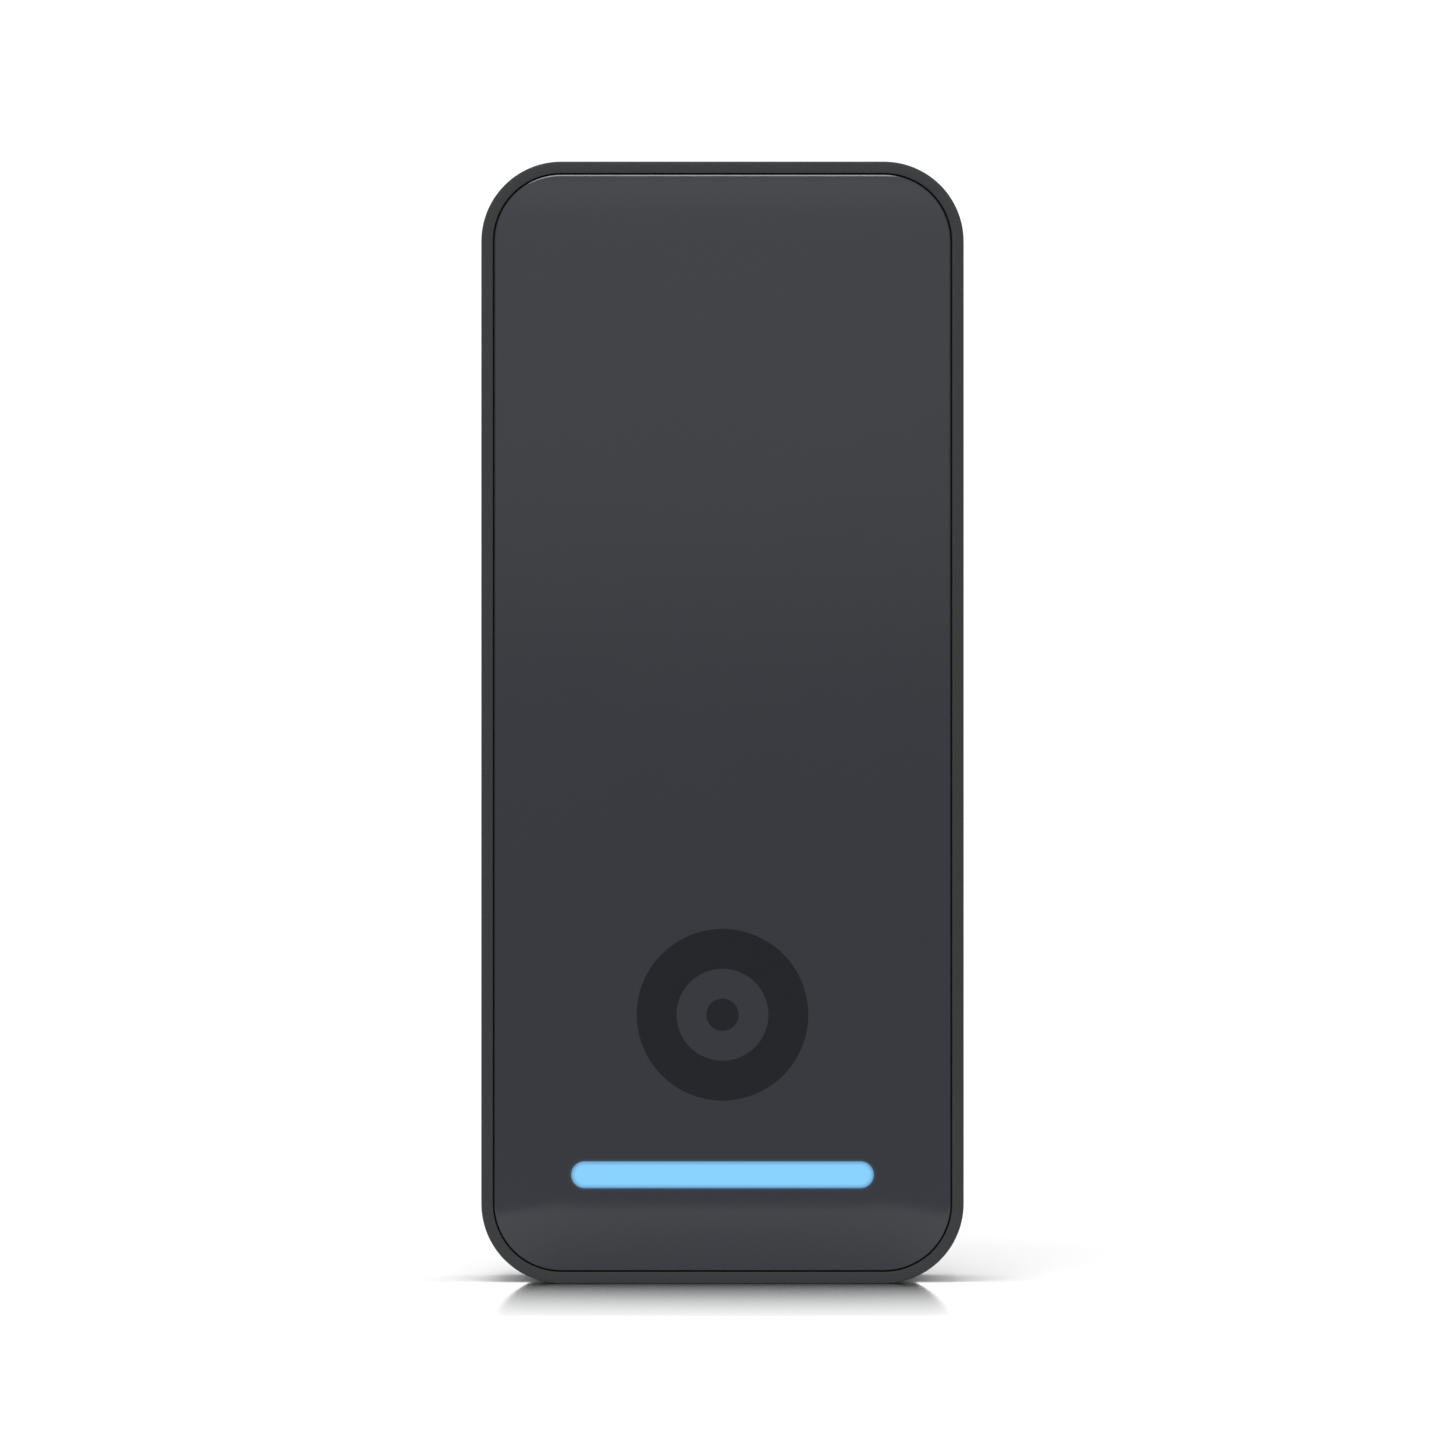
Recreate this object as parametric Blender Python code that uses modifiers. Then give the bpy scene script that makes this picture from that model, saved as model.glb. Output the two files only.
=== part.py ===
"""A slim card reader for wall mounting, with every piece that it comes apart into.

The reader stands on its bottom edge: +X is to its right, +Z up, and its front faces -Y. The origin is
the middle of the bottom. All sizes are in metres. A place in the stack of parts is given as a depth,
the distance behind the front face, which at() turns into world coordinates.
"""

import math

import bmesh
import bpy
from mathutils import Vector

# Overall size
WIDTH = 0.0630
HEIGHT = 0.1465
DEPTH = 0.0206
CORNER = 0.01044

# Clearances, and how far a cutter runs past the face that it opens
GAP = 0.0003
FINE_GAP = 0.0001
PANEL_GAP = 0.00023
PAST = 0.0010

# Front housing, from its face to the parting line
RIM = 0.00152
SEAT_DEPTH = 0.0017
FLOOR_DEPTH = 0.0030
FRONT_END = 0.0090
WALL = 0.0020
FACE_ROUNDING = 0.00025
POST_ROOT = 0.0025

# Rear housing, from the parting line to its back
REAR_START = 0.0098
BACK_INSIDE = 0.0162
BLOCK_END = 0.0170
REAR_END = 0.0178
BACK_ROUNDING = 0.0012
SHOULDER = 0.0035
SHOULDER_END = 0.0113
LIP_START = 0.0078
LIP_INSET = 0.0023

# Front panel and light bar
PANEL_INSET = RIM + PANEL_GAP
PANEL_THICKNESS = 0.0012
PANEL_CHAMFER = 0.0002
TAPE_INSET = 0.0022
TAPE_SIDE = 0.0046
BAR_WIDTH = 0.0395
BAR_HEIGHT = 0.0035
BAR_Z = 0.0142
BAR_FLANGE = 0.0010
LIGHT_POST = (0.0176, 0.0210)
LED_PITCH = 0.0100

# Case posts, one near each corner
POST_X = 0.02386
POST_Z = 0.00764
POST_RADIUS = 0.0026
POST_PILOT = 0.0014
REAR_POST_RADIUS = 0.00325
SCREW_SEAT = 0.0135

# Reading coil and inner frame
COIL_MIDDLE = 0.0605
COIL_WIRE = 0.00014
ANTENNA_PIN = (0.0200, 0.0935)
FRAME_HALF = 0.0275
FRAME_Z = (0.0245, 0.1325)
FRAME_EDGE = 0.0010
STUD_X = 0.0260
STUD_Z = (0.0400, 0.0800, 0.1200)

# Cable bay in the back, under the ethernet jack
BAY_HALF = 0.0180
BAY_BOTTOM = 0.0260
BAY_TOP = 0.0660
BAY_FRONT = 0.0079
BAY_WALL = 0.0012
BAY_FRONT_WALL = 0.0008

# Main board and jack
BOARD_HALF = 0.0260
BOARD_BOTTOM = 0.0685
BOARD_TOP = 0.1300
BOARD_FRONT = 0.0070
BOARD_BACK = 0.0082
BOARD_SCREW_X = 0.0225
BOARD_SCREW_Z = (0.0730, 0.1260)
BOARD_HOLE = 0.00125
PARTS_FRONT = 0.0084
JACK_HALF = 0.00795
JACK_BOTTOM = 0.0680
JACK_TOP = 0.0845
JACK_FRONT = 0.0057
JACK_BACK = 0.0160
PORT_FRONT = 0.0082
PORT_BACK = 0.0147
PORT_HALF = 0.00595

# Wall bracket
BRACKET_FRONT = 0.0180
BRACKET_BACK = 0.0192
BRACKET_HALF = 0.0230
BRACKET_BOTTOM = 0.0090
BRACKET_TOP = 0.1320
BRACKET_CORNER = 0.0050
HOOK_X = 0.0140
HOOK_HALF = 0.0040
HOOK_TIP_DEPTH = 0.0150
HOOK_TIP_Z = 0.1342
POCKET_HALF = 0.0046
POCKET_Z = (0.1295, 0.1360)
TAB_HALF = 0.0060
HINGE_DEPTH = 0.0170
HINGE_Z = 0.1322
LOCK_DEPTH = 0.0140
SLOT_Z = (0.0200, 0.1033)
RECESS = (0.0065, 0.0045)
RECESS_FRONT = 0.0148
RECESS_WALL = 0.0012
LOCK_HOLE = 0.0017
GASKET_FRONT = 0.0193
GASKET_WIDTH = 0.0035

# Speaker behind the bottom wall
SPEAKER_X = 0.0147
SPEAKER_DEPTH = 0.0137

# Tamper plunger and reset button, both along the depth, at these x and z
TAMPER = (-0.0150, 0.1000)
RESET = (0.0150, 0.0880)
FLANGE_SEAT = 0.0159
SPRING_RADIUS = 0.0017
SPRING_WIRE = 0.00015
SPRING_START = 0.0118
SPRING_LENGTH = 0.0028
SPRING_TURNS = 4

# Breather hole and rating label in the back wall
BREATHER = (0.0245, 0.0500)
LABEL_HALF = 0.0130
LABEL_Z = (0.1112, 0.1268)

# Fineness of rounded outlines
LARGE_CORNER = 0.0055
LARGE_CORNER_SEGMENTS = 14
SMALL_CORNER_SEGMENTS = 4
ROUND_SIDES = 20
SMALL_SIDES = 16
SPRING_STEPS = 10

SIDES = ((-1, "left"), (1, "right"))

MATERIALS = {
    "charcoal_plastic": ((0.052, 0.054, 0.058), 0.55, 0.0),
    "smoked_panel": ((0.048, 0.050, 0.055), 0.30, 0.0),
    "light_guide": ((0.250, 0.640, 1.000), 0.35, 0.0),
    "black_foam": ((0.015, 0.015, 0.016), 0.90, 0.0),
    "board_green": ((0.020, 0.090, 0.050), 0.45, 0.0),
    "led_white": ((0.800, 0.820, 0.850), 0.40, 0.0),
    "copper": ((0.720, 0.330, 0.180), 0.35, 1.0),
    "ferrite": ((0.060, 0.060, 0.065), 0.60, 0.0),
    "tinned_steel": ((0.600, 0.610, 0.620), 0.30, 1.0),
    "black_plastic": ((0.020, 0.020, 0.022), 0.50, 0.0),
    "ribbon_film": ((0.550, 0.300, 0.060), 0.40, 0.0),
    "rubber": ((0.018, 0.018, 0.018), 0.80, 0.0),
    "screw_steel": ((0.420, 0.430, 0.440), 0.35, 1.0),
    "bracket_metal": ((0.560, 0.570, 0.580), 0.40, 1.0),
    "label_film": ((0.760, 0.770, 0.780), 0.50, 0.0),
    "brass_pin": ((0.780, 0.600, 0.280), 0.30, 1.0),
}

_collections = {}


def at(x, depth, z):
    """World position of a point that lies this far behind the front face."""
    return Vector((x, depth - DEPTH / 2, z))


def clear_scene():
    for item in list(bpy.data.objects):
        bpy.data.objects.remove(item, do_unlink=True)
    for name in ("card_reader", "construction"):
        group = bpy.data.collections.new(name)
        bpy.context.scene.collection.children.link(group)
        _collections[name] = group


def material(name):
    """A Principled material from the table, made on its first use."""
    found = bpy.data.materials.get(name)
    if found:
        return found
    colour, roughness, metallic = MATERIALS[name]
    made = bpy.data.materials.new(name)
    made.use_nodes = True
    shader = made.node_tree.nodes["Principled BSDF"]
    shader.inputs["Base Color"].default_value = (*colour, 1.0)
    shader.inputs["Roughness"].default_value = roughness
    shader.inputs["Metallic"].default_value = metallic
    return made


def add_object(name, data, location, finish):
    """A part, or with no finish a construction shape that only cuts or joins."""
    thing = bpy.data.objects.new(name, data)
    thing.location = location
    if finish:
        _collections["card_reader"].objects.link(thing)
        data.materials.append(material(finish))
    else:
        _collections["construction"].objects.link(thing)
        thing.hide_render = True
        thing.display_type = "WIRE"
    return thing


def mesh_from(name, bm, smooth=True):
    bmesh.ops.recalc_face_normals(bm, faces=bm.faces)
    mesh = bpy.data.meshes.new(name)
    bm.to_mesh(mesh)
    bm.free()
    if smooth:
        mesh.shade_smooth()
        mesh.set_sharp_from_angle(angle=math.radians(35))
    return mesh


def edges_along(bm, axis):
    """The edges of a box that run along this axis."""
    found = []
    for edge in bm.edges:
        way = edge.verts[1].co - edge.verts[0].co
        if abs(way[axis]) > 0.999 * way.length:
            found.append(edge)
    return found


def slab(name, x, depth, z, corner=0.0, finish=None, front_chamfer=0.0, back_rounding=0.0, segments=3):
    """A plate between pairs of x, depth and z, its outline's corners rounded in the front view."""
    centre = at(sum(x) / 2, sum(depth) / 2, sum(z) / 2)
    size = Vector((x[1] - x[0], depth[1] - depth[0], z[1] - z[0]))
    bm = bmesh.new()
    bmesh.ops.create_cube(bm, size=1.0)
    bmesh.ops.scale(bm, vec=size, verts=bm.verts)
    if corner:
        steps = LARGE_CORNER_SEGMENTS if corner > LARGE_CORNER else SMALL_CORNER_SEGMENTS
        bmesh.ops.bevel(
            bm, geom=edges_along(bm, 1), offset=corner, segments=steps, profile=0.5, affect="EDGES"
        )
    for side, amount in ((-1, front_chamfer), (1, back_rounding)):
        if amount:
            level = side * size.y / 2
            loop = [e for e in bm.edges if all(abs(v.co.y - level) < 1e-6 for v in e.verts)]
            bmesh.ops.bevel(
                bm, geom=loop, offset=amount, segments=segments, profile=0.5, affect="EDGES"
            )
    return add_object(name, mesh_from(name, bm), centre, finish)


def outline(name, inset, depth, finish=None, **extra):
    """A slab with the reader's own outline, drawn in by an inset."""
    return slab(
        name, (inset - WIDTH / 2, WIDTH / 2 - inset), depth, (inset, HEIGHT - inset),
        corner=CORNER - inset, finish=finish, **extra,
    )


def stadium(name, x, depth, z, width, height, finish=None):
    """A plate with fully rounded ends, centred on x and z."""
    return slab(
        name, (x - width / 2, x + width / 2), depth, (z - height / 2, z + height / 2),
        corner=height / 2 - 1e-6, finish=finish,
    )


def rod(name, radius, x, depth, z, sides=ROUND_SIDES, finish=None):
    """A cylinder along the depth."""
    bm = bmesh.new()
    bmesh.ops.create_cone(
        bm, cap_ends=True, segments=sides, radius1=radius, radius2=radius, depth=depth[1] - depth[0]
    )
    thing = add_object(name, mesh_from(name, bm), at(x, sum(depth) / 2, z), finish)
    thing.rotation_euler = (-math.pi / 2, 0.0, 0.0)
    return thing


def pillar(name, radius, x, depth, z, sides=ROUND_SIDES, finish=None):
    """A cylinder along Z between a pair of heights."""
    bm = bmesh.new()
    bmesh.ops.create_cone(
        bm, cap_ends=True, segments=sides, radius1=radius, radius2=radius, depth=z[1] - z[0]
    )
    return add_object(name, mesh_from(name, bm), at(x, depth, sum(z) / 2), finish)


def boolean(target, operation, *tools):
    for tool in tools:
        step = target.modifiers.new(f"{operation.lower()} {tool.name}", "BOOLEAN")
        step.operation = operation
        step.object = tool
        step.solver = "EXACT"
    return target


def cut(target, *tools):
    return boolean(target, "DIFFERENCE", *tools)


def fuse(target, *tools):
    return boolean(target, "UNION", *tools)


def turned(name, profile, location, finish, along_depth=True, sides=ROUND_SIDES):
    """A lathe-turned piece. Its profile is (radius, height) pairs from the top of its axis down."""
    mesh = bpy.data.meshes.new(name)
    bm = bmesh.new()
    points = [bm.verts.new((radius, 0.0, height)) for radius, height in profile]
    for first, second in zip(points, points[1:]):
        bm.edges.new((first, second))
    bm.to_mesh(mesh)
    bm.free()
    thing = add_object(name, mesh, location, finish)
    if along_depth:
        thing.rotation_euler = (-math.pi / 2, 0.0, 0.0)
    spin = thing.modifiers.new("turn", "SCREW")
    spin.steps = sides
    spin.render_steps = sides
    spin.use_merge_vertices = True
    spin.merge_threshold = 0.00001
    spin.use_smooth_shade = True
    return thing


def machine_screw(name, x, depth, z, head_radius, head_height, shank_radius, length):
    """A pan-head screw whose head's seat is at this depth and whose shank runs towards the front."""
    crown = head_radius * 0.75
    profile = [
        (0.0, head_height), (crown, head_height), (head_radius, head_height * 0.6), (head_radius, 0.0),
        (shank_radius, 0.0), (shank_radius, -length + shank_radius), (0.0, -length),
    ]
    return turned(name, profile, at(x, depth, z), "screw_steel", sides=SMALL_SIDES)


def bent_strip(name, x, route, thickness, finish=None):
    """A strip between a pair of x, bent along a route of (depth, z) points."""
    bm = bmesh.new()
    line = [bm.verts.new(at(x[0], depth, z)) for depth, z in route]
    edges = [bm.edges.new(pair) for pair in zip(line, line[1:])]
    swept = bmesh.ops.extrude_edge_only(bm, edges=edges)["geom"]
    across = [item for item in swept if isinstance(item, bmesh.types.BMVert)]
    bmesh.ops.translate(bm, vec=(x[1] - x[0], 0.0, 0.0), verts=across)
    strip = add_object(name, mesh_from(name, bm, smooth=False), (0.0, 0.0, 0.0), finish)
    wall = strip.modifiers.new("thickness", "SOLIDIFY")
    wall.thickness = thickness
    wall.offset = 0.0
    wall.use_even_offset = True
    return strip


def corner_posts():
    """The x and z of the four case posts."""
    return [(x, z) for z in (POST_Z, HEIGHT - POST_Z) for x in (-POST_X, POST_X)]


# --- Front ------------------------------------------------------------------------------------------


def make_front_housing():
    """Rim, panel seat, side wall and the posts that take the case screws, open at the back."""
    housing = outline(
        "front_housing", 0.0, (0.0, FRONT_END), "charcoal_plastic", front_chamfer=FACE_ROUNDING
    )
    cut(
        housing,
        outline("panel_seat", RIM, (-PAST, SEAT_DEPTH)),
        outline("front_cavity", WALL, (FLOOR_DEPTH, FRONT_END + PAST)),
        stadium(
            "bar_slot", 0.0, (SEAT_DEPTH - PAST, FLOOR_DEPTH + PAST), BAR_Z,
            BAR_WIDTH + 2 * GAP, BAR_HEIGHT + 2 * GAP,
        ),
    )
    for number, (x, z) in enumerate(corner_posts(), 1):
        fuse(housing, rod(f"front_post_{number}", POST_RADIUS, x, (POST_ROOT, 0.0095), z, SMALL_SIDES))
        cut(housing, rod(f"pilot_{number}", POST_PILOT, x, (0.0040, 0.0100), z, SMALL_SIDES))
    x, z = LIGHT_POST
    for side, tag in SIDES:
        post = rod(f"light_post_{tag}", 0.0022, side * x, (POST_ROOT, 0.0052), z, SMALL_SIDES)
        pilot = rod(f"light_pilot_{tag}", 0.0012, side * x, (0.0036, 0.0060), z, SMALL_SIDES)
        cut(fuse(housing, post), pilot)
        for level, height in enumerate(STUD_Z, 1):
            name = f"frame_stud_{tag}_{level}"
            fuse(housing, rod(name, 0.0013, side * STUD_X, (POST_ROOT, 0.0050), height, SMALL_SIDES))
    return housing


def make_front_panel():
    panel = outline(
        "front_panel", PANEL_INSET, (0.0, PANEL_THICKNESS), "smoked_panel",
        front_chamfer=PANEL_CHAMFER, segments=1,
    )
    width = BAR_WIDTH + 2 * FINE_GAP
    height = BAR_HEIGHT + 2 * FINE_GAP
    slot = stadium("panel_slot", 0.0, (-PAST, PANEL_THICKNESS + PAST), BAR_Z, width, height)
    return cut(panel, slot)


def make_panel_adhesive():
    """A frame of foam tape behind the panel, broad at the bottom, with a slot round the light bar."""
    depth = (PANEL_THICKNESS + FINE_GAP, SEAT_DEPTH - FINE_GAP)
    through = (depth[0] - GAP, depth[1] + GAP)
    half = WIDTH / 2 - TAPE_SIDE
    margin = 2 * BAR_FLANGE
    tape = outline("panel_adhesive", TAPE_INSET, depth, "black_foam")
    return cut(
        tape,
        slab("tape_window", (-half, half), through, (0.0205, HEIGHT - TAPE_SIDE), corner=0.0058),
        stadium("tape_slot", 0.0, through, BAR_Z, BAR_WIDTH + margin, BAR_HEIGHT + margin),
    )


def make_light_guide():
    """A stadium tongue that is flush with the panel, on a wider flange behind the seat."""
    wide, high = BAR_WIDTH + 2 * BAR_FLANGE, BAR_HEIGHT + 2 * BAR_FLANGE
    guide = stadium("light_guide", 0.0, (0.0, 0.0037), BAR_Z, BAR_WIDTH, BAR_HEIGHT, "light_guide")
    return fuse(guide, stadium("guide_flange", 0.0, (FLOOR_DEPTH + GAP, 0.0042), BAR_Z, wide, high))


def make_light_seal():
    """The foam frame round the light guide's flange, pressed between the seat and the light board."""
    seal = slab(
        "light_seal", (-0.0230, 0.0230), (FLOOR_DEPTH + GAP, 0.0051), (BAR_Z - 0.0045, BAR_Z + 0.0045),
        corner=0.0030, finish="black_foam",
    )
    margin = 2 * (BAR_FLANGE + GAP)
    return cut(
        seal, stadium("seal_window", 0.0, (0.0030, 0.0060), BAR_Z, BAR_WIDTH + margin, BAR_HEIGHT + margin)
    )


def make_light_board():
    """A narrow board with four LEDs that shine into the back of the light guide."""
    board = slab(
        "light_board", (-0.0205, 0.0205), (0.0055, 0.0065), (0.0082, 0.0230), corner=0.0010,
        finish="board_green",
    )
    x, z = LIGHT_POST
    for side, tag in SIDES:
        cut(board, rod(f"light_hole_{tag}", BOARD_HOLE, side * x, (0.0050, 0.0070), z, SMALL_SIDES))
        machine_screw(f"light_screw_{tag}", side * x, 0.0067, z, 0.0018, 0.0010, 0.0009, 0.0028)
    for number in range(4):
        x = LED_PITCH * (number - 1.5)
        slab(
            f"led_{number + 1}", (x - 0.0010, x + 0.0010), (0.0046, 0.0053),
            (BAR_Z - 0.0007, BAR_Z + 0.0007), finish="led_white",
        )


# --- Reading coil and boards ------------------------------------------------------------------------


def spiral_points(turns, half_width, half_height, pitch, corner):
    """Corners of a flat rectangular spiral from outside to inside, each turned in three steps."""
    points = []
    for quarter in range(turns * 4):
        shrink = pitch * (quarter // 4)
        next_shrink = shrink + (pitch if quarter % 4 == 3 else 0.0)
        sign_x, sign_z = ((1, 1), (-1, 1), (-1, -1), (1, -1))[quarter % 4]
        x = sign_x * (half_width - (next_shrink if quarter % 4 == 3 else shrink))
        z = sign_z * (half_height - shrink)
        start = quarter % 4 * math.pi / 2
        for step in (0.0, 0.5, 1.0):
            angle = start + step * math.pi / 2
            points.append((
                x - sign_x * corner + corner * math.cos(angle),
                z - sign_z * corner + corner * math.sin(angle),
            ))
    return points


def wire(name, points, radius, finish, resolution=1):
    """A round wire along world points, with closed ends."""
    curve = bpy.data.curves.new(name, "CURVE")
    curve.dimensions = "3D"
    curve.bevel_depth = radius
    curve.bevel_resolution = resolution
    curve.use_fill_caps = True
    spline = curve.splines.new("POLY")
    spline.points.add(len(points) - 1)
    for place, point in zip(spline.points, points):
        place.co = (*point, 1.0)
    return add_object(name, curve, (0.0, 0.0, 0.0), finish)


def make_antenna():
    """The antenna board with its coil in front of it and the ferrite sheet behind it."""
    slab(
        "antenna_board", (-0.0240, 0.0240), (0.0037, 0.0045), (0.0240, 0.0970), corner=0.0020,
        finish="board_green",
    )
    flat = spiral_points(4, 0.0225, 0.0350, 0.0010, 0.0020)
    wire("antenna_coil", [at(x, 0.00335, COIL_MIDDLE + z) for x, z in flat], COIL_WIRE, "copper")
    slab(
        "ferrite_sheet", (-0.0230, 0.0230), (0.0047, 0.0050), (0.0260, 0.0900), corner=0.0015,
        finish="ferrite",
    )
    x, z = ANTENNA_PIN
    for side, tag in SIDES:
        rod(f"antenna_pin_{tag}", 0.0007, side * x, (0.0047, 0.0068), z, SMALL_SIDES, "brass_pin")


def board_screw_places():
    """The x and z of the main board's four screws."""
    return [(x, z) for z in BOARD_SCREW_Z for x in (-BOARD_SCREW_X, BOARD_SCREW_X)]


def make_mid_frame():
    """The inner frame: a plate with raised long edges and four low bosses for the main board."""
    depth = (0.0053, BOARD_BACK)
    inner = FRAME_HALF - FRAME_EDGE
    frame = slab(
        "mid_frame", (-FRAME_HALF, FRAME_HALF), depth, FRAME_Z, corner=0.0040, finish="black_plastic"
    )
    hollow_z = (FRAME_Z[0] - 4 * PAST, FRAME_Z[1] - FRAME_EDGE)
    cut(
        frame,
        slab("frame_hollow", (-inner, inner), (depth[0] + FRAME_EDGE, depth[1] + PAST), hollow_z),
        slab(
            "jack_window", (-0.0086, 0.0086), (0.0050, 0.0070), (JACK_BOTTOM - 0.0008, JACK_TOP + 0.0008),
            corner=0.0010,
        ),
    )
    x, z = ANTENNA_PIN
    for side, tag in SIDES:
        cut(frame, rod(f"pin_hole_{tag}", 0.0011, side * x, (0.0050, 0.0070), z, SMALL_SIDES))
    for number, (x, z) in enumerate(board_screw_places(), 1):
        fuse(frame, rod(f"board_boss_{number}", 0.0023, x, (0.0058, 0.0067), z, SMALL_SIDES))
        cut(frame, rod(f"boss_hole_{number}", BOARD_HOLE, x, (0.0050, 0.0080), z, SMALL_SIDES))
    return frame


def make_main_board():
    board = slab(
        "main_board", (-BOARD_HALF, BOARD_HALF), (BOARD_FRONT, BOARD_BACK), (BOARD_BOTTOM, BOARD_TOP),
        corner=0.0020, finish="board_green",
    )
    through = (BOARD_FRONT - PAST, BOARD_BACK + PAST)
    notch_half = JACK_HALF + 0.00045
    cut(
        board,
        slab("jack_notch", (-notch_half, notch_half), through, (BOARD_BOTTOM - PAST, JACK_TOP + 0.0005)),
    )
    for number, (x, z) in enumerate(board_screw_places(), 1):
        cut(board, rod(f"board_hole_{number}", BOARD_HOLE, x, through, z, SMALL_SIDES))
        machine_screw(f"board_screw_{number}", x, PARTS_FRONT, z, 0.0020, 0.0012, 0.00095, 0.0029)
    return board


def make_ethernet_jack():
    """A shielded jack let into the board, its mouth facing down into the cable bay."""
    jack = slab(
        "ethernet_jack", (-JACK_HALF, JACK_HALF), (JACK_FRONT, JACK_BACK), (JACK_BOTTOM, JACK_TOP),
        finish="tinned_steel",
    )
    below = JACK_BOTTOM - PAST
    groove_depth = (PORT_BACK - FINE_GAP, PORT_BACK + 0.0009)
    return cut(
        jack,
        slab("port", (-PORT_HALF, PORT_HALF), (PORT_FRONT, PORT_BACK), (below, 0.0805)),
        slab("latch_groove", (-0.0031, 0.0031), groove_depth, (below, 0.0790)),
    )


def make_board_parts():
    """Everything that stands on the back of the main board, apart from the jack and the switches."""
    can_x, can_z, wall = (-0.0200, 0.0020), (0.1060, 0.1240), 0.0004
    can = slab(
        "shield_can", can_x, (PARTS_FRONT, 0.0110), can_z, corner=0.0010, finish="tinned_steel"
    )
    inside_x, inside_z = ((low + wall, high - wall) for low, high in (can_x, can_z))
    cut(can, slab("can_hollow", inside_x, (PARTS_FRONT - wall, 0.0106), inside_z))
    slab("processor", (-0.0140, -0.0040), (PARTS_FRONT, 0.0094), (0.1100, 0.1200), finish="black_plastic")
    slab(
        "power_transformer", (0.0090, 0.0210), (PARTS_FRONT, 0.0144), (0.0925, 0.1015), corner=0.0012,
        finish="ferrite",
    )
    for number, x in enumerate((0.0120, 0.0190), 1):
        profile = [
            (0.0, 0.0054), (0.0029, 0.0054), (0.00315, 0.0051), (0.00315, 0.0012),
            (0.0028, 0.0009), (0.00315, 0.0006), (0.00315, 0.0), (0.0, 0.0),
        ]
        place = at(x, PARTS_FRONT, 0.1120)
        turned(f"capacitor_{number}", profile, place, "bracket_metal", sides=SMALL_SIDES)
    across = (-0.0155, -0.0088)
    slab("main_connector", across, (PARTS_FRONT, 0.0096), (0.0696, 0.0730), finish="black_plastic")
    slab("light_connector", across, (0.0067, 0.0077), (0.0145, 0.0180), finish="black_plastic")


def make_ribbon_cable():
    """The flat cable from the main board, round its lower edge and down to the light board."""
    route = [
        (0.0090, 0.0693), (0.0090, 0.0684), (0.0087, 0.0679), (0.0080, 0.0678), (0.0072, 0.0677),
        (0.0068, 0.0672), (0.0067, 0.0660), (0.0067, 0.0255), (0.0068, 0.0235), (0.0071, 0.0210),
        (0.0072, 0.0183),
    ]
    bent_strip("ribbon_cable", (-0.0150, -0.0090), route, 0.0002, "ribbon_film")


def make_speaker():
    """A small speaker over the sound holes in the bottom wall, on a foam ring."""
    x = (SPEAKER_X - 0.0051, SPEAKER_X + 0.0051)
    depth = (SPEAKER_DEPTH - 0.0021, SPEAKER_DEPTH + 0.0021)
    slab("speaker", x, depth, (0.0033, 0.0068), finish="black_plastic")
    ring = slab("speaker_gasket", x, depth, (0.0023, 0.0030), finish="black_foam")
    border = 0.0010
    inner_x, inner_depth = ((low + border, high - border) for low, high in (x, depth))
    cut(ring, slab("ring_window", inner_x, inner_depth, (0.0010, 0.0040)))


# --- Back -------------------------------------------------------------------------------------------


def make_perimeter_seal():
    """The rubber ring in the parting line, a little inside the two housings' outer faces."""
    seal = outline("perimeter_seal", 0.0006, (0.0092, 0.0096), "rubber")
    return cut(seal, outline("seal_inside", WALL, (0.0080, 0.0110)))


def rear_shell():
    """The back wall and side wall, with the shoulder and the lip that slides into the front housing."""
    shell = outline(
        "rear_housing", 0.0, (REAR_START, REAR_END), "charcoal_plastic", back_rounding=BACK_ROUNDING
    )
    cut(
        shell,
        outline("shoulder_opening", SHOULDER, (REAR_START - PAST, SHOULDER_END + FINE_GAP)),
        outline("rear_cavity", WALL, (SHOULDER_END, BACK_INSIDE)),
    )
    lip = outline("lip", LIP_INSET, (LIP_START, REAR_START + 0.0005))
    cut(lip, outline("lip_opening", SHOULDER, (LIP_START - PAST, REAR_START + PAST)))
    return fuse(shell, lip)


def add_case_posts(shell):
    out = REAR_END + PAST
    for number, (x, z) in enumerate(corner_posts(), 1):
        post = rod(f"rear_post_{number}", REAR_POST_RADIUS, x, (REAR_START, BLOCK_END), z, SMALL_SIDES)
        fuse(shell, post)
        cut(
            shell,
            rod(f"screw_head_hole_{number}", POST_RADIUS, x, (SCREW_SEAT, out), z, SMALL_SIDES),
            rod(f"screw_hole_{number}", POST_PILOT, x, (0.0090, SCREW_SEAT + PAST), z, SMALL_SIDES),
        )
        seat = SCREW_SEAT + FINE_GAP
        machine_screw(f"case_screw_{number}", x, seat, z, 0.0022, 0.0015, 0.0011, 0.0091)


def add_cable_bay(shell):
    """The bay's tub in the back wall, open to the back, with a mouth up to the jack's port."""
    block = slab(
        "bay_block", (-BAY_HALF - BAY_WALL, BAY_HALF + BAY_WALL), (BAY_FRONT - BAY_FRONT_WALL, BLOCK_END),
        (BAY_BOTTOM - BAY_WALL, BAY_TOP + BAY_WALL), corner=0.0030,
    )
    bay = slab(
        "bay_hollow", (-BAY_HALF, BAY_HALF), (BAY_FRONT, REAR_END + PAST), (BAY_BOTTOM, BAY_TOP),
        corner=0.0020,
    )
    mouth_z = (BAY_TOP - PAST, JACK_BOTTOM)
    mouth = slab("bay_mouth", (-0.0063, 0.0063), (PORT_FRONT - FINE_GAP, 0.0158), mouth_z)
    cut(fuse(shell, block), bay, mouth)


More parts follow.
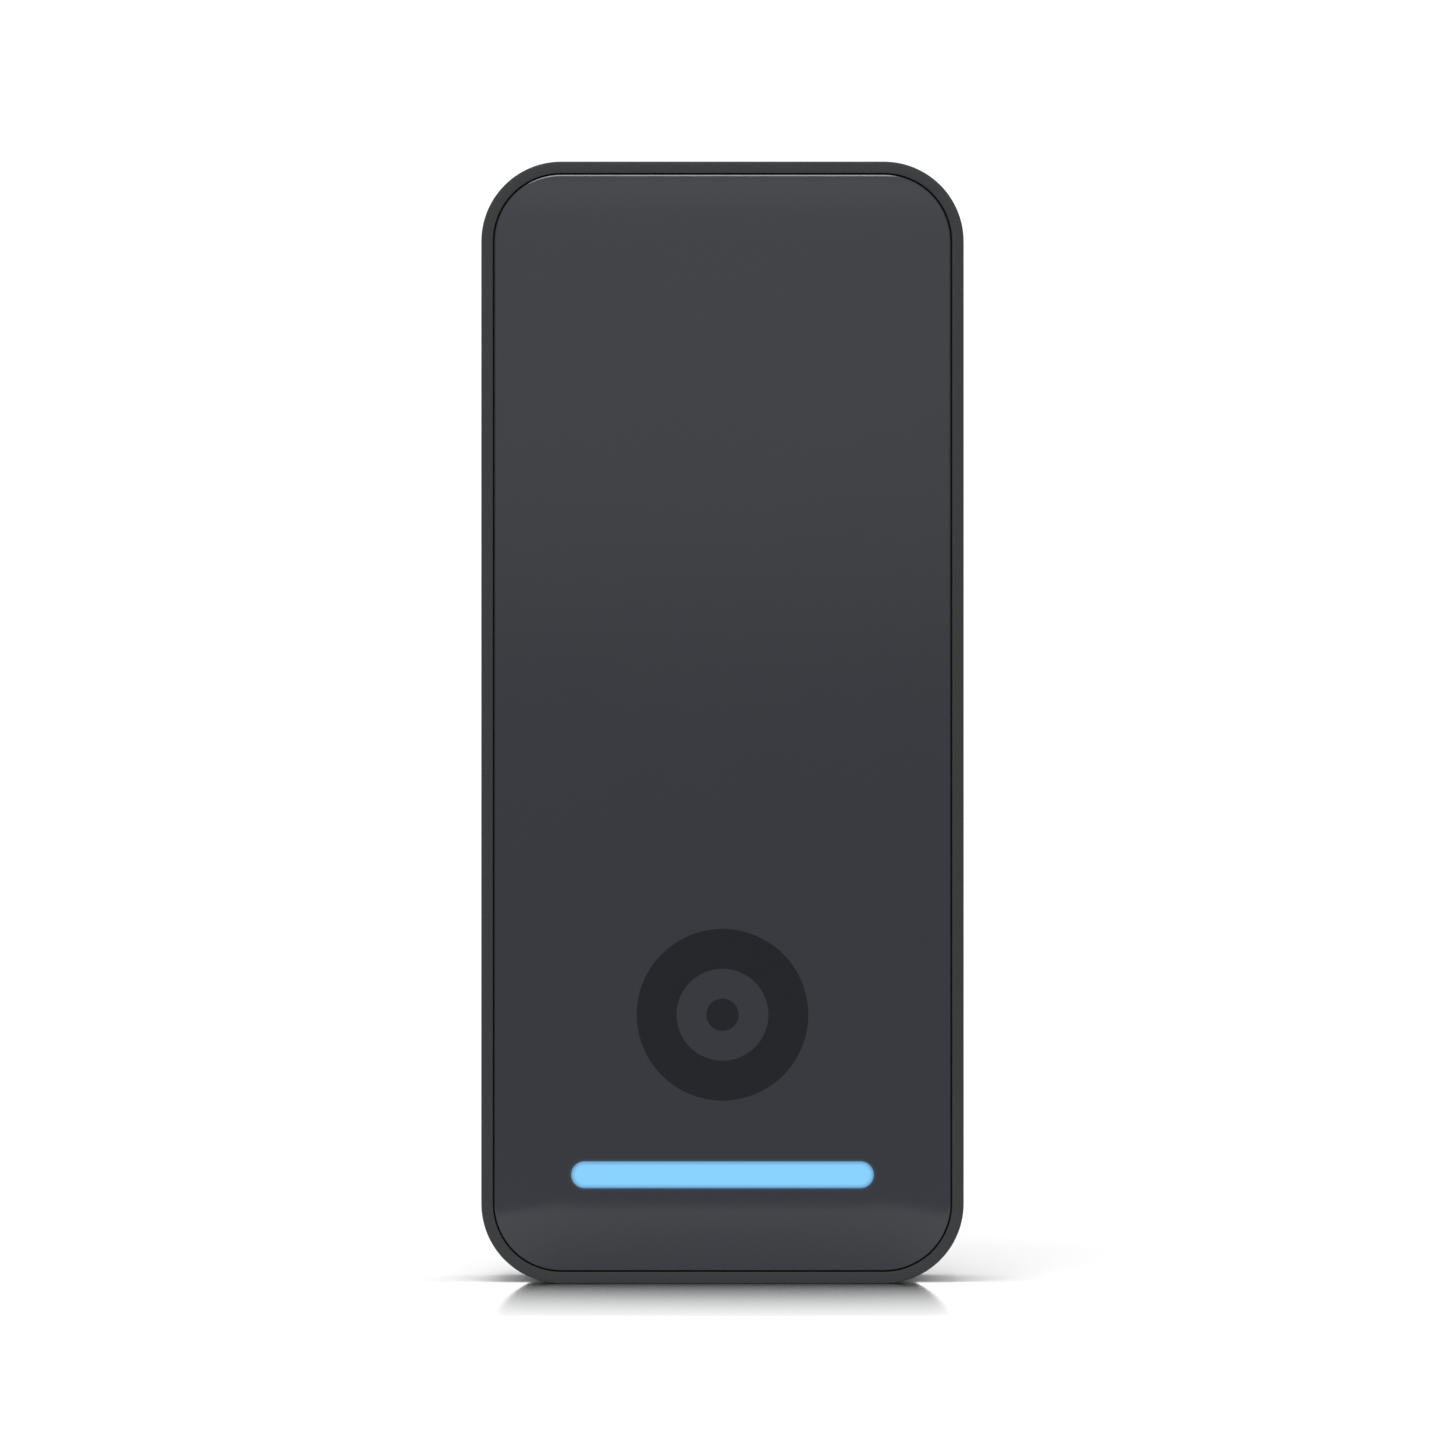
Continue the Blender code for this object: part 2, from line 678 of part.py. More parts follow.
def add_lock(shell):
    """The pocket for the bracket's tab, and the counterbored screw hole up into it."""
    half = TAB_HALF + 0.0012
    outer = half + 0.0014
    pocket_z = (0.0082, 0.0134)
    block = slab(
        "lock_block", (-outer, outer), (REAR_START, BLOCK_END), (0.0010, pocket_z[1] + 0.0012)
    )
    pocket = slab("tab_pocket", (-half, half), (0.0102, REAR_END + PAST), pocket_z)
    cut(
        fuse(shell, block), pocket,
        pillar("lock_head_hole", 0.0031, 0.0, LOCK_DEPTH, (-PAST, 0.0060)),
        pillar("lock_screw_hole", LOCK_HOLE, 0.0, LOCK_DEPTH, (0.0050, 0.0090), SMALL_SIDES),
    )


def add_bracket_screw_recesses(shell):
    """Room for the heads of the two wall screws that hold the bracket."""
    half_x, half_z = RECESS
    outer_x, outer_z = half_x + RECESS_WALL, half_z + RECESS_WALL
    block_depth, hollow_depth = (RECESS_FRONT - RECESS_WALL, BLOCK_END), (RECESS_FRONT, REAR_END + PAST)
    for number, z in enumerate(SLOT_Z, 1):
        block = slab(
            f"recess_block_{number}", (-outer_x, outer_x), block_depth, (z - outer_z, z + outer_z)
        )
        hollow = slab(
            f"recess_{number}", (-half_x, half_x), hollow_depth, (z - half_z, z + half_z), corner=0.0015
        )
        cut(fuse(shell, block), hollow)


def add_hook_pockets(shell):
    """A blind pocket for each of the bracket's hooks, and the slot in the back wall that it enters by."""
    low, high = POCKET_Z
    outer = POCKET_HALF + 0.0012
    for side, tag in SIDES:
        middle = side * HOOK_X
        across = (middle - POCKET_HALF, middle + POCKET_HALF)
        block = slab(
            f"hook_block_{tag}", (middle - outer, middle + outer), (0.0124, BLOCK_END),
            (low - 0.0010, high + 0.0010),
        )
        pocket = slab(f"hook_pocket_{tag}", across, (0.0134, BACK_INSIDE), POCKET_Z)
        slot = slab(f"hook_slot_{tag}", across, (0.0150, REAR_END + PAST), (low + 0.0008, 0.1324))
        cut(fuse(shell, block), pocket, slot)


def add_small_openings(shell):
    """Plunger guide, reset hole, breather hole, sound holes and the label's recess."""
    out = REAR_END + PAST
    x, z = TAMPER
    fuse(shell, rod("plunger_tube", 0.0040, x, (0.0135, BLOCK_END), z))
    cut(
        shell,
        rod("plunger_bore", 0.0030, x, (0.0120, BACK_INSIDE), z),
        rod("plunger_hole", 0.0019, x, (0.0150, out), z, SMALL_SIDES),
    )
    x, z = RESET
    cut(shell, rod("reset_hole", 0.0018, x, (0.0150, out), z, SMALL_SIDES))
    x, z = BREATHER
    cut(shell, rod("breather_hole", 0.0010, x, (0.0150, out), z, SMALL_SIDES))
    for number in range(4):
        x = SPEAKER_X + 0.0020 * (number - 1.5)
        cut(shell, pillar(f"sound_hole_{number + 1}", 0.0006, x, SPEAKER_DEPTH, (-PAST, 0.0030), 12))
    cut(shell, slab("label_recess", (-LABEL_HALF, LABEL_HALF), (0.0174, out), LABEL_Z, corner=0.0010))


def make_rear_housing():
    """The rear housing with its openings, the membrane behind its breather hole and its label."""
    shell = rear_shell()
    add_case_posts(shell)
    add_cable_bay(shell)
    add_lock(shell)
    add_bracket_screw_recesses(shell)
    add_hook_pockets(shell)
    add_small_openings(shell)
    x, z = BREATHER
    rod("vent_membrane", 0.0030, x, (0.0157, 0.0160), z, SMALL_SIDES, "label_film")
    half = LABEL_HALF - GAP
    height = (LABEL_Z[0] + GAP, LABEL_Z[1] - GAP)
    slab("rating_label", (-half, half), (0.0175, 0.0177), height, corner=0.0008, finish="label_film")


# --- Moving pieces ----------------------------------------------------------------------------------


def make_switch(name, x, z, half, depth, key_radius, key_end):
    """A square board switch with a round key on its back."""
    body = slab(f"{name}_switch", (x - half, x + half), depth, (z - half, z + half), finish="black_plastic")
    key_depth = (depth[1] - 0.0005, key_end)
    fuse(body, rod(f"{name}_key", key_radius, x, key_depth, z, SMALL_SIDES))


def make_tamper():
    """A plunger that the wall presses in, the spring round its nose and the switch that it works."""
    x, z = TAMPER
    profile = [
        (0.0, 0.0203), (0.0013, 0.0203), (0.0016, 0.0200), (0.0016, 0.0159), (0.0027, 0.0159),
        (0.0027, 0.0149), (0.0010, 0.0149), (0.0010, 0.0128), (0.0, 0.0128),
    ]
    moved = [(radius, height - FLANGE_SEAT) for radius, height in profile]
    turned("tamper_plunger", moved, at(x, FLANGE_SEAT, z), "black_plastic")
    coil = []
    for step in range(SPRING_TURNS * SPRING_STEPS + 1):
        angle = 2 * math.pi * step / SPRING_STEPS
        depth = SPRING_START + SPRING_LENGTH * step / (SPRING_TURNS * SPRING_STEPS)
        across, up = SPRING_RADIUS * math.cos(angle), SPRING_RADIUS * math.sin(angle)
        coil.append(at(x + across, depth, z + up))
    wire("tamper_spring", coil, SPRING_WIRE, "screw_steel")
    make_switch("tamper", x, z, 0.0025, (PARTS_FRONT, 0.0110), 0.0008, 0.0114)


def make_reset():
    """A long button that reaches from the back wall down to its switch on the board."""
    x, z = RESET
    profile = [
        (0.0, 0.0017), (0.0012, 0.0017), (0.0015, 0.0014), (0.0015, 0.0), (0.0023, 0.0),
        (0.0023, -0.0009), (0.0009, -0.0009), (0.0009, -0.0049), (0.0, -0.0049),
    ]
    turned("reset_button", profile, at(x, FLANGE_SEAT, z), "rubber", sides=SMALL_SIDES)
    make_switch("reset", x, z, 0.00225, (PARTS_FRONT, 0.0100), 0.0009, 0.0104)


def make_security_screw():
    """The lock screw, backed out: its origin is at its head's seat, on its own axis."""
    profile = [
        (0.0, 0.0060), (0.0011, 0.0060), (0.00145, 0.0056), (0.00145, 0.0), (0.0026, 0.0),
        (0.0026, -0.0017), (0.0023, -0.0020), (0.0011, -0.0020), (0.0011, -0.0008), (0.0, -0.0008),
    ]
    place = at(0.0, LOCK_DEPTH, 0.0025)
    turned("security_screw", profile, place, "screw_steel", along_depth=False, sides=SMALL_SIDES)


def make_bracket():
    """A bent plate: two hooks at the top, a lock tab at the bottom, slots for the wall screws."""
    hinge = bpy.data.objects.new("bracket_hinge", None)
    hinge.location = at(0.0, HINGE_DEPTH, HINGE_Z)
    _collections["card_reader"].objects.link(hinge)
    depth = (BRACKET_FRONT, BRACKET_BACK)
    thickness = BRACKET_BACK - BRACKET_FRONT
    plate = slab(
        "wall_bracket", (-BRACKET_HALF, BRACKET_HALF), depth, (BRACKET_BOTTOM, BRACKET_TOP),
        corner=BRACKET_CORNER, finish="bracket_metal",
    )
    middle = sum(depth) / 2
    through = (BRACKET_FRONT - PAST, BRACKET_BACK + PAST)
    arm_z = BRACKET_TOP - thickness / 2 - FINE_GAP
    route = [(middle, arm_z), (HOOK_TIP_DEPTH, arm_z), (HOOK_TIP_DEPTH, HOOK_TIP_Z)]
    for side, tag in SIDES:
        across = (side * HOOK_X - HOOK_HALF, side * HOOK_X + HOOK_HALF)
        fuse(plate, bent_strip(f"hook_{tag}", across, route, thickness))
    tab_z = BRACKET_BOTTOM + thickness / 2 + FINE_GAP
    tab_route = [(middle, tab_z), (0.0110, tab_z)]
    fuse(plate, bent_strip("lock_tab", (-TAB_HALF, TAB_HALF), tab_route, thickness))
    cut(plate, pillar("tab_hole", LOCK_HOLE, 0.0, LOCK_DEPTH, (0.0080, 0.0110), SMALL_SIDES))
    margin = 0.0010
    window_x = (margin - BAY_HALF, BAY_HALF - margin)
    window_z = (BAY_BOTTOM + margin, BAY_TOP - margin)
    cut(plate, slab("cable_window", window_x, through, window_z, corner=0.0030))
    for number, z in enumerate(SLOT_Z, 1):
        cut(plate, stadium(f"wall_slot_{number}", 0.0, through, z, 0.0100, 0.0048))
    cut(
        plate,
        rod("plunger_window", 0.0025, TAMPER[0], through, TAMPER[1], SMALL_SIDES),
        rod("reset_window", 0.0030, RESET[0], through, RESET[1], SMALL_SIDES),
    )
    nut = pillar("bracket_nut", 0.0031, 0.0, LOCK_DEPTH, (0.0104, 0.0124), 6, "screw_steel")
    cut(nut, pillar("nut_hole", LOCK_HOLE, 0.0, LOCK_DEPTH, (0.0100, 0.0130), SMALL_SIDES))
    edge = 0.0005
    gasket_half = BRACKET_HALF - edge
    gasket_z = (BRACKET_BOTTOM + edge, BRACKET_TOP - edge)
    inner = gasket_half - GASKET_WIDTH
    inner_z = (gasket_z[0] + GASKET_WIDTH, gasket_z[1] - GASKET_WIDTH)
    foam = slab(
        "wall_gasket", (-gasket_half, gasket_half), (GASKET_FRONT, DEPTH), gasket_z, corner=0.0045,
        finish="black_foam",
    )
    cut(foam, slab("gasket_window", (-inner, inner), (0.0190, 0.0210), inner_z, corner=0.0020))
    bpy.context.view_layer.update()
    for piece in (plate, nut, foam):
        piece.parent = hinge
        piece.matrix_parent_inverse = hinge.matrix_world.inverted()


def main():
    clear_scene()
    make_front_housing()
    make_front_panel()
    make_panel_adhesive()
    make_light_guide()
    make_light_seal()
    make_light_board()
    make_antenna()
    make_mid_frame()
    make_main_board()
    make_ethernet_jack()
    make_board_parts()
    make_ribbon_cable()
    make_speaker()
    make_perimeter_seal()
    make_rear_housing()
    make_tamper()
    make_reset()
    make_security_screw()
    make_bracket()


main()
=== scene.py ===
"""Looks of a slim wall-mounted card reader: fine shells, finishes and a pale studio round the CAD frame.

The reader stands on its bottom edge with its front to -Y. Its own stack is measured as a depth behind
the front face. Each operator makes one piece, or one group of like pieces, from the frame's boxes.
"""

import math
import random

import bmesh
import bpy
from bpy.props import FloatProperty, FloatVectorProperty, PointerProperty
from mathutils import Matrix, Vector


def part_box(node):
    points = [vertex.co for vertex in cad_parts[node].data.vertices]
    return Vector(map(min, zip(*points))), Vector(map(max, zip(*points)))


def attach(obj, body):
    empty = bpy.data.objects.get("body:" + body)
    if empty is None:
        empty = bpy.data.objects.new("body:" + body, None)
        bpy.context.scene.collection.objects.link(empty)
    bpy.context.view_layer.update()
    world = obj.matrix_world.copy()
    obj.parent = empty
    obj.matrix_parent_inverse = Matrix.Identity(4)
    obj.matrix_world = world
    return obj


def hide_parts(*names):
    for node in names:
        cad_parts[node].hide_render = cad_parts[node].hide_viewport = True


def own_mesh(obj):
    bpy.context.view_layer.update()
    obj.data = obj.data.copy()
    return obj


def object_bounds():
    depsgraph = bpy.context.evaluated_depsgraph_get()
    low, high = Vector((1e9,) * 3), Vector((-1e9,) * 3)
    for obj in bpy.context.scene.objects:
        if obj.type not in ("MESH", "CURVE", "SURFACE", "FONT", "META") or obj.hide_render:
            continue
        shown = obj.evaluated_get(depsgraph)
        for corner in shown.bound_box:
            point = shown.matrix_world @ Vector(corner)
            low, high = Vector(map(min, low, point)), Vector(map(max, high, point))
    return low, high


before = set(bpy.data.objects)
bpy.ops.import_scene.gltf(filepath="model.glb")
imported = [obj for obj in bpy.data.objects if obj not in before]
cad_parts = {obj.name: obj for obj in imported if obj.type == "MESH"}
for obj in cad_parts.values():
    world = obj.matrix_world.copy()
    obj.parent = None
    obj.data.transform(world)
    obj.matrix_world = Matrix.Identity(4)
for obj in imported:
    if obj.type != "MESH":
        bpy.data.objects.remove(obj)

bl_info = {
    "name": "Card reader looks",
    "version": (1, 0, 0),
    "blender": (4, 5, 0),
    "location": "View3D > Sidebar > Card Reader",
    "description": "Builds the shells, fittings, finishes and studio of a wall-mounted card reader",
    "category": "Object",
}

CAD_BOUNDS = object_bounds()
LOW, HIGH = (Vector(corner) for corner in CAD_BOUNDS)
FACE_Y = LOW.y
WIDTH = HIGH.x - LOW.x
HEIGHT = HIGH.z - LOW.z
MIDDLE_Z = (LOW.z + HIGH.z) / 2
TO_FRONT = Vector((0.0, -1.0, 0.0))
TO_BACK = Vector((0.0, 1.0, 0.0))

# Steps of the rounds, and the widest face that is still shaded smooth.
OUTLINE_STEPS = 28
ROUND_STEPS = 64
COIL_STEPS = 40
FLAT_AREA = 0.00004

# The front housing's seat and parting, and the light guide's flange.
TAPE_GAP = 0.0001
SEAT_THICKNESS = 0.0013
PARTING_GAP = 0.0002
FLANGE_MARGIN = 0.0010
FLANGE_THICKNESS = 0.0009

# Posts in the front housing: radius, depth of the free end, pilot's radius, depth where the pilot starts.
CASE_POST = (0.0026, 0.0095, 0.0014, 0.0040)
LIGHT_POST = (0.0022, 0.0052, 0.0012, 0.0036)
STUD = (0.0013, 0.0050)
STUD_X = 0.0260
STUD_HEIGHTS = (0.0400, 0.0800, 0.1200)
POST_OVERLAP = 0.0005

# The floor, and how far its polish reaches in front of the reader and beside it.
FLOOR_RADIUS = 3.0
FLOOR_AHEAD = 0.065
POLISH_REACH = 0.095
POLISH_BESIDE = 0.008
POLISH_FALL = 2.1

RANGE_SOCKETS = ("From Min", "From Max", "To Min", "To Max")


# --- Settings ---------------------------------------------------------------------------------------


def length(name, default, about):
    return FloatProperty(name=name, description=about, default=default, min=0.0, unit="LENGTH", precision=5)


def power(name, default, about):
    return FloatProperty(name=name, description=about, default=default, unit="POWER")


def colour(name, default, about):
    return FloatVectorProperty(
        name=name, description=about, default=default, min=0.0, max=1.0, size=3, subtype="COLOR"
    )


class ReaderSizes(bpy.types.PropertyGroup):
    corner: length("Corner radius", 0.01044, "Radius of the case's corners, seen from the front")
    rim: length("Rim width", 0.00152, "Width of the matte rim round the panel")
    groove: length("Groove", 0.00023, "Gap between the rim and the panel")
    wall: length("Wall", 0.0020, "Thickness of the front housing's side wall")
    slot_gap: length("Slot gap", 0.0003, "Gap between the light guide and the seat's slot")
    panel_slot_gap: length("Panel slot gap", 0.00004, "Gap between the light guide and the panel's slot")
    rim_rounding: length("Rim rounding", 0.00018, "Rounding of the case's front edge")
    inner_rounding: length("Rim inner rounding", 0.00007, "Rounding of the rim's edge at the groove")
    panel_chamfer: length("Panel chamfer", 0.00026, "Width of the bright bevel round the panel")
    panel_drop: length("Panel chamfer drop", 0.00015, "Depth of the bevel round the panel")
    gasket_ring: length("Gasket ring", 0.0035, "Width of the foam ring behind the bracket")
    mark_diameter: length("Mark diameter", 0.0224, "Outer diameter of the printed tap mark")
    mark_stroke: length("Mark stroke", 0.0052, "Width of the tap mark's ring")
    mark_dot: length("Mark dot", 0.0042, "Diameter of the dot in the tap mark")
    mark_height: length("Mark height", 0.0351, "Height of the tap mark's middle above the bottom edge")
    bar_lit_height: length("Lit height", 0.0034, "Height of the light bar to half its brightness")
    bar_blur: length("Light blur", 0.0013, "Width over which the light bar fades out")


class ReaderColours(bpy.types.PropertyGroup):
    case: colour("Case", (0.0150, 0.0165, 0.0185), "Matte charcoal of the housings")
    panel: colour("Panel", (0.0108, 0.0125, 0.0200), "Smooth front panel")
    mark: colour("Mark", (0.0125, 0.0138, 0.0165), "Ink of the tap mark")
    light: colour("Light bar", (0.2050, 0.6000, 1.0), "Colour of the lit bar")
    foam: colour("Foam", (0.0150, 0.0150, 0.0160), "Foam seals")
    rubber: colour("Rubber", (0.0180, 0.0180, 0.0190), "Rubber parts")
    board: colour("Boards", (0.0120, 0.0620, 0.0360), "Solder resist of the circuit boards")
    metal: colour("Bracket", (0.5200, 0.5300, 0.5450), "Blasted aluminium of the wall bracket")
    steel: colour("Screws", (0.4200, 0.4300, 0.4450), "Plated steel of the fasteners")
    label: colour("Label", (0.6200, 0.6300, 0.6400), "Blank rating label")


class ReaderStudio(bpy.types.PropertyGroup):
    view_distance: length("Camera distance", 1.0, "Distance from the camera to the reader's face")
    view_width: length("View width", 0.18864, "Width of the view at the reader's face")
    overhead_power: power("Overhead light", 0.4, "Power of the softbox above the reader")
    key_power: power("Key light", 1.3, "Power of the softbox in front, up to the left")
    card_power: power("Front card", 0.36, "Power of the card that the panel's top mirrors")
    surround: FloatProperty(
        name="Surround", description="Brightness of the white studio round the reader", default=1.0, min=0.0
    )


def sizes():
    return bpy.context.scene.reader_sizes


def colours():
    return bpy.context.scene.reader_colours


def studio():
    return bpy.context.scene.reader_studio


# --- Mesh tools -------------------------------------------------------------------------------------


def is_level(edge, y):
    return all(abs(vert.co.y - y) < 1e-7 for vert in edge.verts)


def facing(bm, side):
    """The widest face that looks along Y to this side, -1 for the front."""
    found = [face for face in bm.faces if face.normal.y * side > 0.999]
    return max(found, key=lambda face: face.calc_area())


def prism(bm, width, height, radius, front, back, middle, steps=OUTLINE_STEPS):
    """A closed plate with a rounded outline, between two depths behind the front face."""
    made = bmesh.ops.create_cube(bm, size=1.0)["verts"]
    bmesh.ops.scale(bm, vec=(width, back - front, height), verts=made)
    bmesh.ops.translate(bm, vec=(middle[0], FACE_Y + (front + back) / 2, middle[1]), verts=made)
    upright = {e for v in made for e in v.link_edges if abs(e.verts[0].co.y - e.verts[1].co.y) > 1e-6}
    bmesh.ops.bevel(
        bm, geom=list(upright), offset=radius, segments=steps, profile=0.5, affect="EDGES", material=-1
    )
    bmesh.ops.remove_doubles(bm, verts=bm.verts, dist=0.000005)
    bm.normal_update()


def case_prism(bm, inset, front, back):
    """A plate with the case's own outline, drawn in by an inset."""
    prism(
        bm, WIDTH - 2 * inset, HEIGHT - 2 * inset, sizes().corner - inset, front, back, (0.0, MIDDLE_Z)
    )


def walk(bm, face, steps):
    """Draws a face in and moves it along Y, step by step: (inset, shift) pairs. Returns its last loop."""
    for inset, shift in steps:
        if inset:
            bmesh.ops.inset_individual(bm, faces=[face], thickness=inset, depth=0.0, use_even_offset=True)
        else:
            face = bmesh.ops.extrude_discrete_faces(bm, faces=[face])["faces"][0]
        bmesh.ops.translate(bm, vec=(0.0, shift, 0.0), verts=face.verts)
    bm.normal_update()
    return face


def quarter_steps(radius, count=4):
    """The steps of a quarter circle: how far each goes along its start's line, and across that line."""
    for number in range(count):
        start, end = (math.pi / 2 * n / count for n in (number, number + 1))
        yield radius * (math.sin(end) - math.sin(start)), radius * (math.cos(start) - math.cos(end))


def rolled(radius):
    """Steps that round a face's edge down into a plate."""
    return list(quarter_steps(radius))


def rolled_out(radius):
    """Steps that round a raised face's edge over towards the front."""
    return [(across, -along) for along, across in quarter_steps(radius)]


def opened(bm, face):
    """Removes a flat face and returns the edges of the hole that it leaves."""
    edges = list(face.edges)
    bmesh.ops.delete(bm, geom=[face], context="FACES_ONLY")
    return edges


def loop_at(bm, edges, y):
    return [edge for edge in edges if edge.is_valid and is_level(edge, y)]


def stadium_wall(bm, width, height, front, back, middle, steps=24):
    """The side wall of a slot with round ends, without its two flat faces. Returns its two loops."""
    before = set(bm.edges)
    known = set(bm.faces)
    prism(bm, width, height, height / 2 - 1e-6, front, back, middle, steps)
    flat = [f for f in bm.faces if f not in known and abs(f.normal.y) > 0.999]
    bmesh.ops.delete(bm, geom=flat, context="FACES_ONLY")
    fresh = [edge for edge in bm.edges if edge not in before]
    return loop_at(bm, fresh, FACE_Y + front), loop_at(bm, fresh, FACE_Y + back)


def fill_ring(bm, outer, inner):
    """Fills the flat space between an outline and a hole in it."""
    bmesh.ops.triangle_fill(bm, edges=outer + inner, use_beauty=True)


def lathe(bm, profile, centre, axis, steps=ROUND_STEPS):
    """A turned shape: (radius, height) pairs along an axis, closed on it at both ends."""
    side = Vector((1.0, 0.0, 0.0))
    line = [bm.verts.new(centre + side * radius + axis * height) for radius, height in profile]
    edges = [bm.edges.new(pair) for pair in zip(line, line[1:])]
    bmesh.ops.spin(
        bm, geom=line + edges, cent=centre, axis=axis, angle=2 * math.pi, steps=steps, use_merge=True
    )
    bmesh.ops.remove_doubles(bm, verts=bm.verts, dist=1e-7)


def circle(bm, radius, centre, axis, segments):
    """The edges of a circle, or of a regular polygon, about an axis."""
    turn = axis.to_track_quat("Z", "Y").to_matrix().to_4x4()
    place = Matrix.Translation(centre) @ turn
    verts = bmesh.ops.create_circle(bm, cap_ends=False, radius=radius, segments=segments, matrix=place)
    return list({edge for vert in verts["verts"] for edge in vert.link_edges})


def carried(bm, edges, shift, centre=None, scale=1.0):
    """Extrudes a loop of edges, moves it and scales it about a centre. Returns the new loop."""
    made = bmesh.ops.extrude_edge_only(bm, edges=edges)["geom"]
    verts = [item for item in made if isinstance(item, bmesh.types.BMVert)]
    if scale != 1.0:
        bmesh.ops.scale(bm, vec=(scale,) * 3, space=Matrix.Translation(-centre), verts=verts)
    bmesh.ops.translate(bm, vec=shift, verts=verts)
    return [item for item in made if isinstance(item, bmesh.types.BMEdge)]


def finished(bm, name, body, finish, replaced=(), smooth=35.0, bevel=0.0):
    """Turns a bmesh into a piece that rides on a body, wears a finish and may stand for CAD nodes."""
    bmesh.ops.remove_doubles(bm, verts=bm.verts, dist=1e-7)
    bmesh.ops.recalc_face_normals(bm, faces=bm.faces)
    mesh = bpy.data.meshes.new(name)
    for face in bm.faces:
        face.smooth = bool(bevel) or (abs(face.normal.y) < 0.99999 and face.calc_area() < FLAT_AREA)
    bm.to_mesh(mesh)
    bm.free()
    mesh.set_sharp_from_angle(angle=math.radians(smooth))
    mesh.materials.append(finish)
    piece = bpy.data.objects.new(name, mesh)
    bpy.context.scene.collection.objects.link(piece)
    if bevel:
        soft = piece.modifiers.new("soft edges", "BEVEL")
        soft.width = bevel
        soft.segments = 2
        soft.limit_method = "ANGLE"
        soft.angle_limit = math.radians(40.0)
        soft.use_clamp_overlap = True
        level = piece.modifiers.new("level faces", "WEIGHTED_NORMAL")
        level.mode = "FACE_AREA"
        level.weight = 100
        level.keep_sharp = True
    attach(piece, body)
    if replaced:
        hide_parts(*replaced)
    return piece


def refined(node, name, body, finish, bevel=0.0, smooth=30.0):
    """A copy of a CAD node, merged and made flat-faced again, with smooth rounds and soft edges."""
    bm = bmesh.new()
    bm.from_mesh(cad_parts[node].data)
    bmesh.ops.remove_doubles(bm, verts=bm.verts, dist=2e-6)
    bmesh.ops.dissolve_limit(
        bm, angle_limit=math.radians(1.0), use_dissolve_boundaries=False, verts=bm.verts, edges=bm.edges
    )
    wide = [face for face in bm.faces if len(face.verts) > 4]
    bmesh.ops.triangulate(bm, faces=wide, quad_method="BEAUTY", ngon_method="BEAUTY")
    return finished(bm, name, body, finish, (node,), smooth, bevel)


# --- Node tools -------------------------------------------------------------------------------------


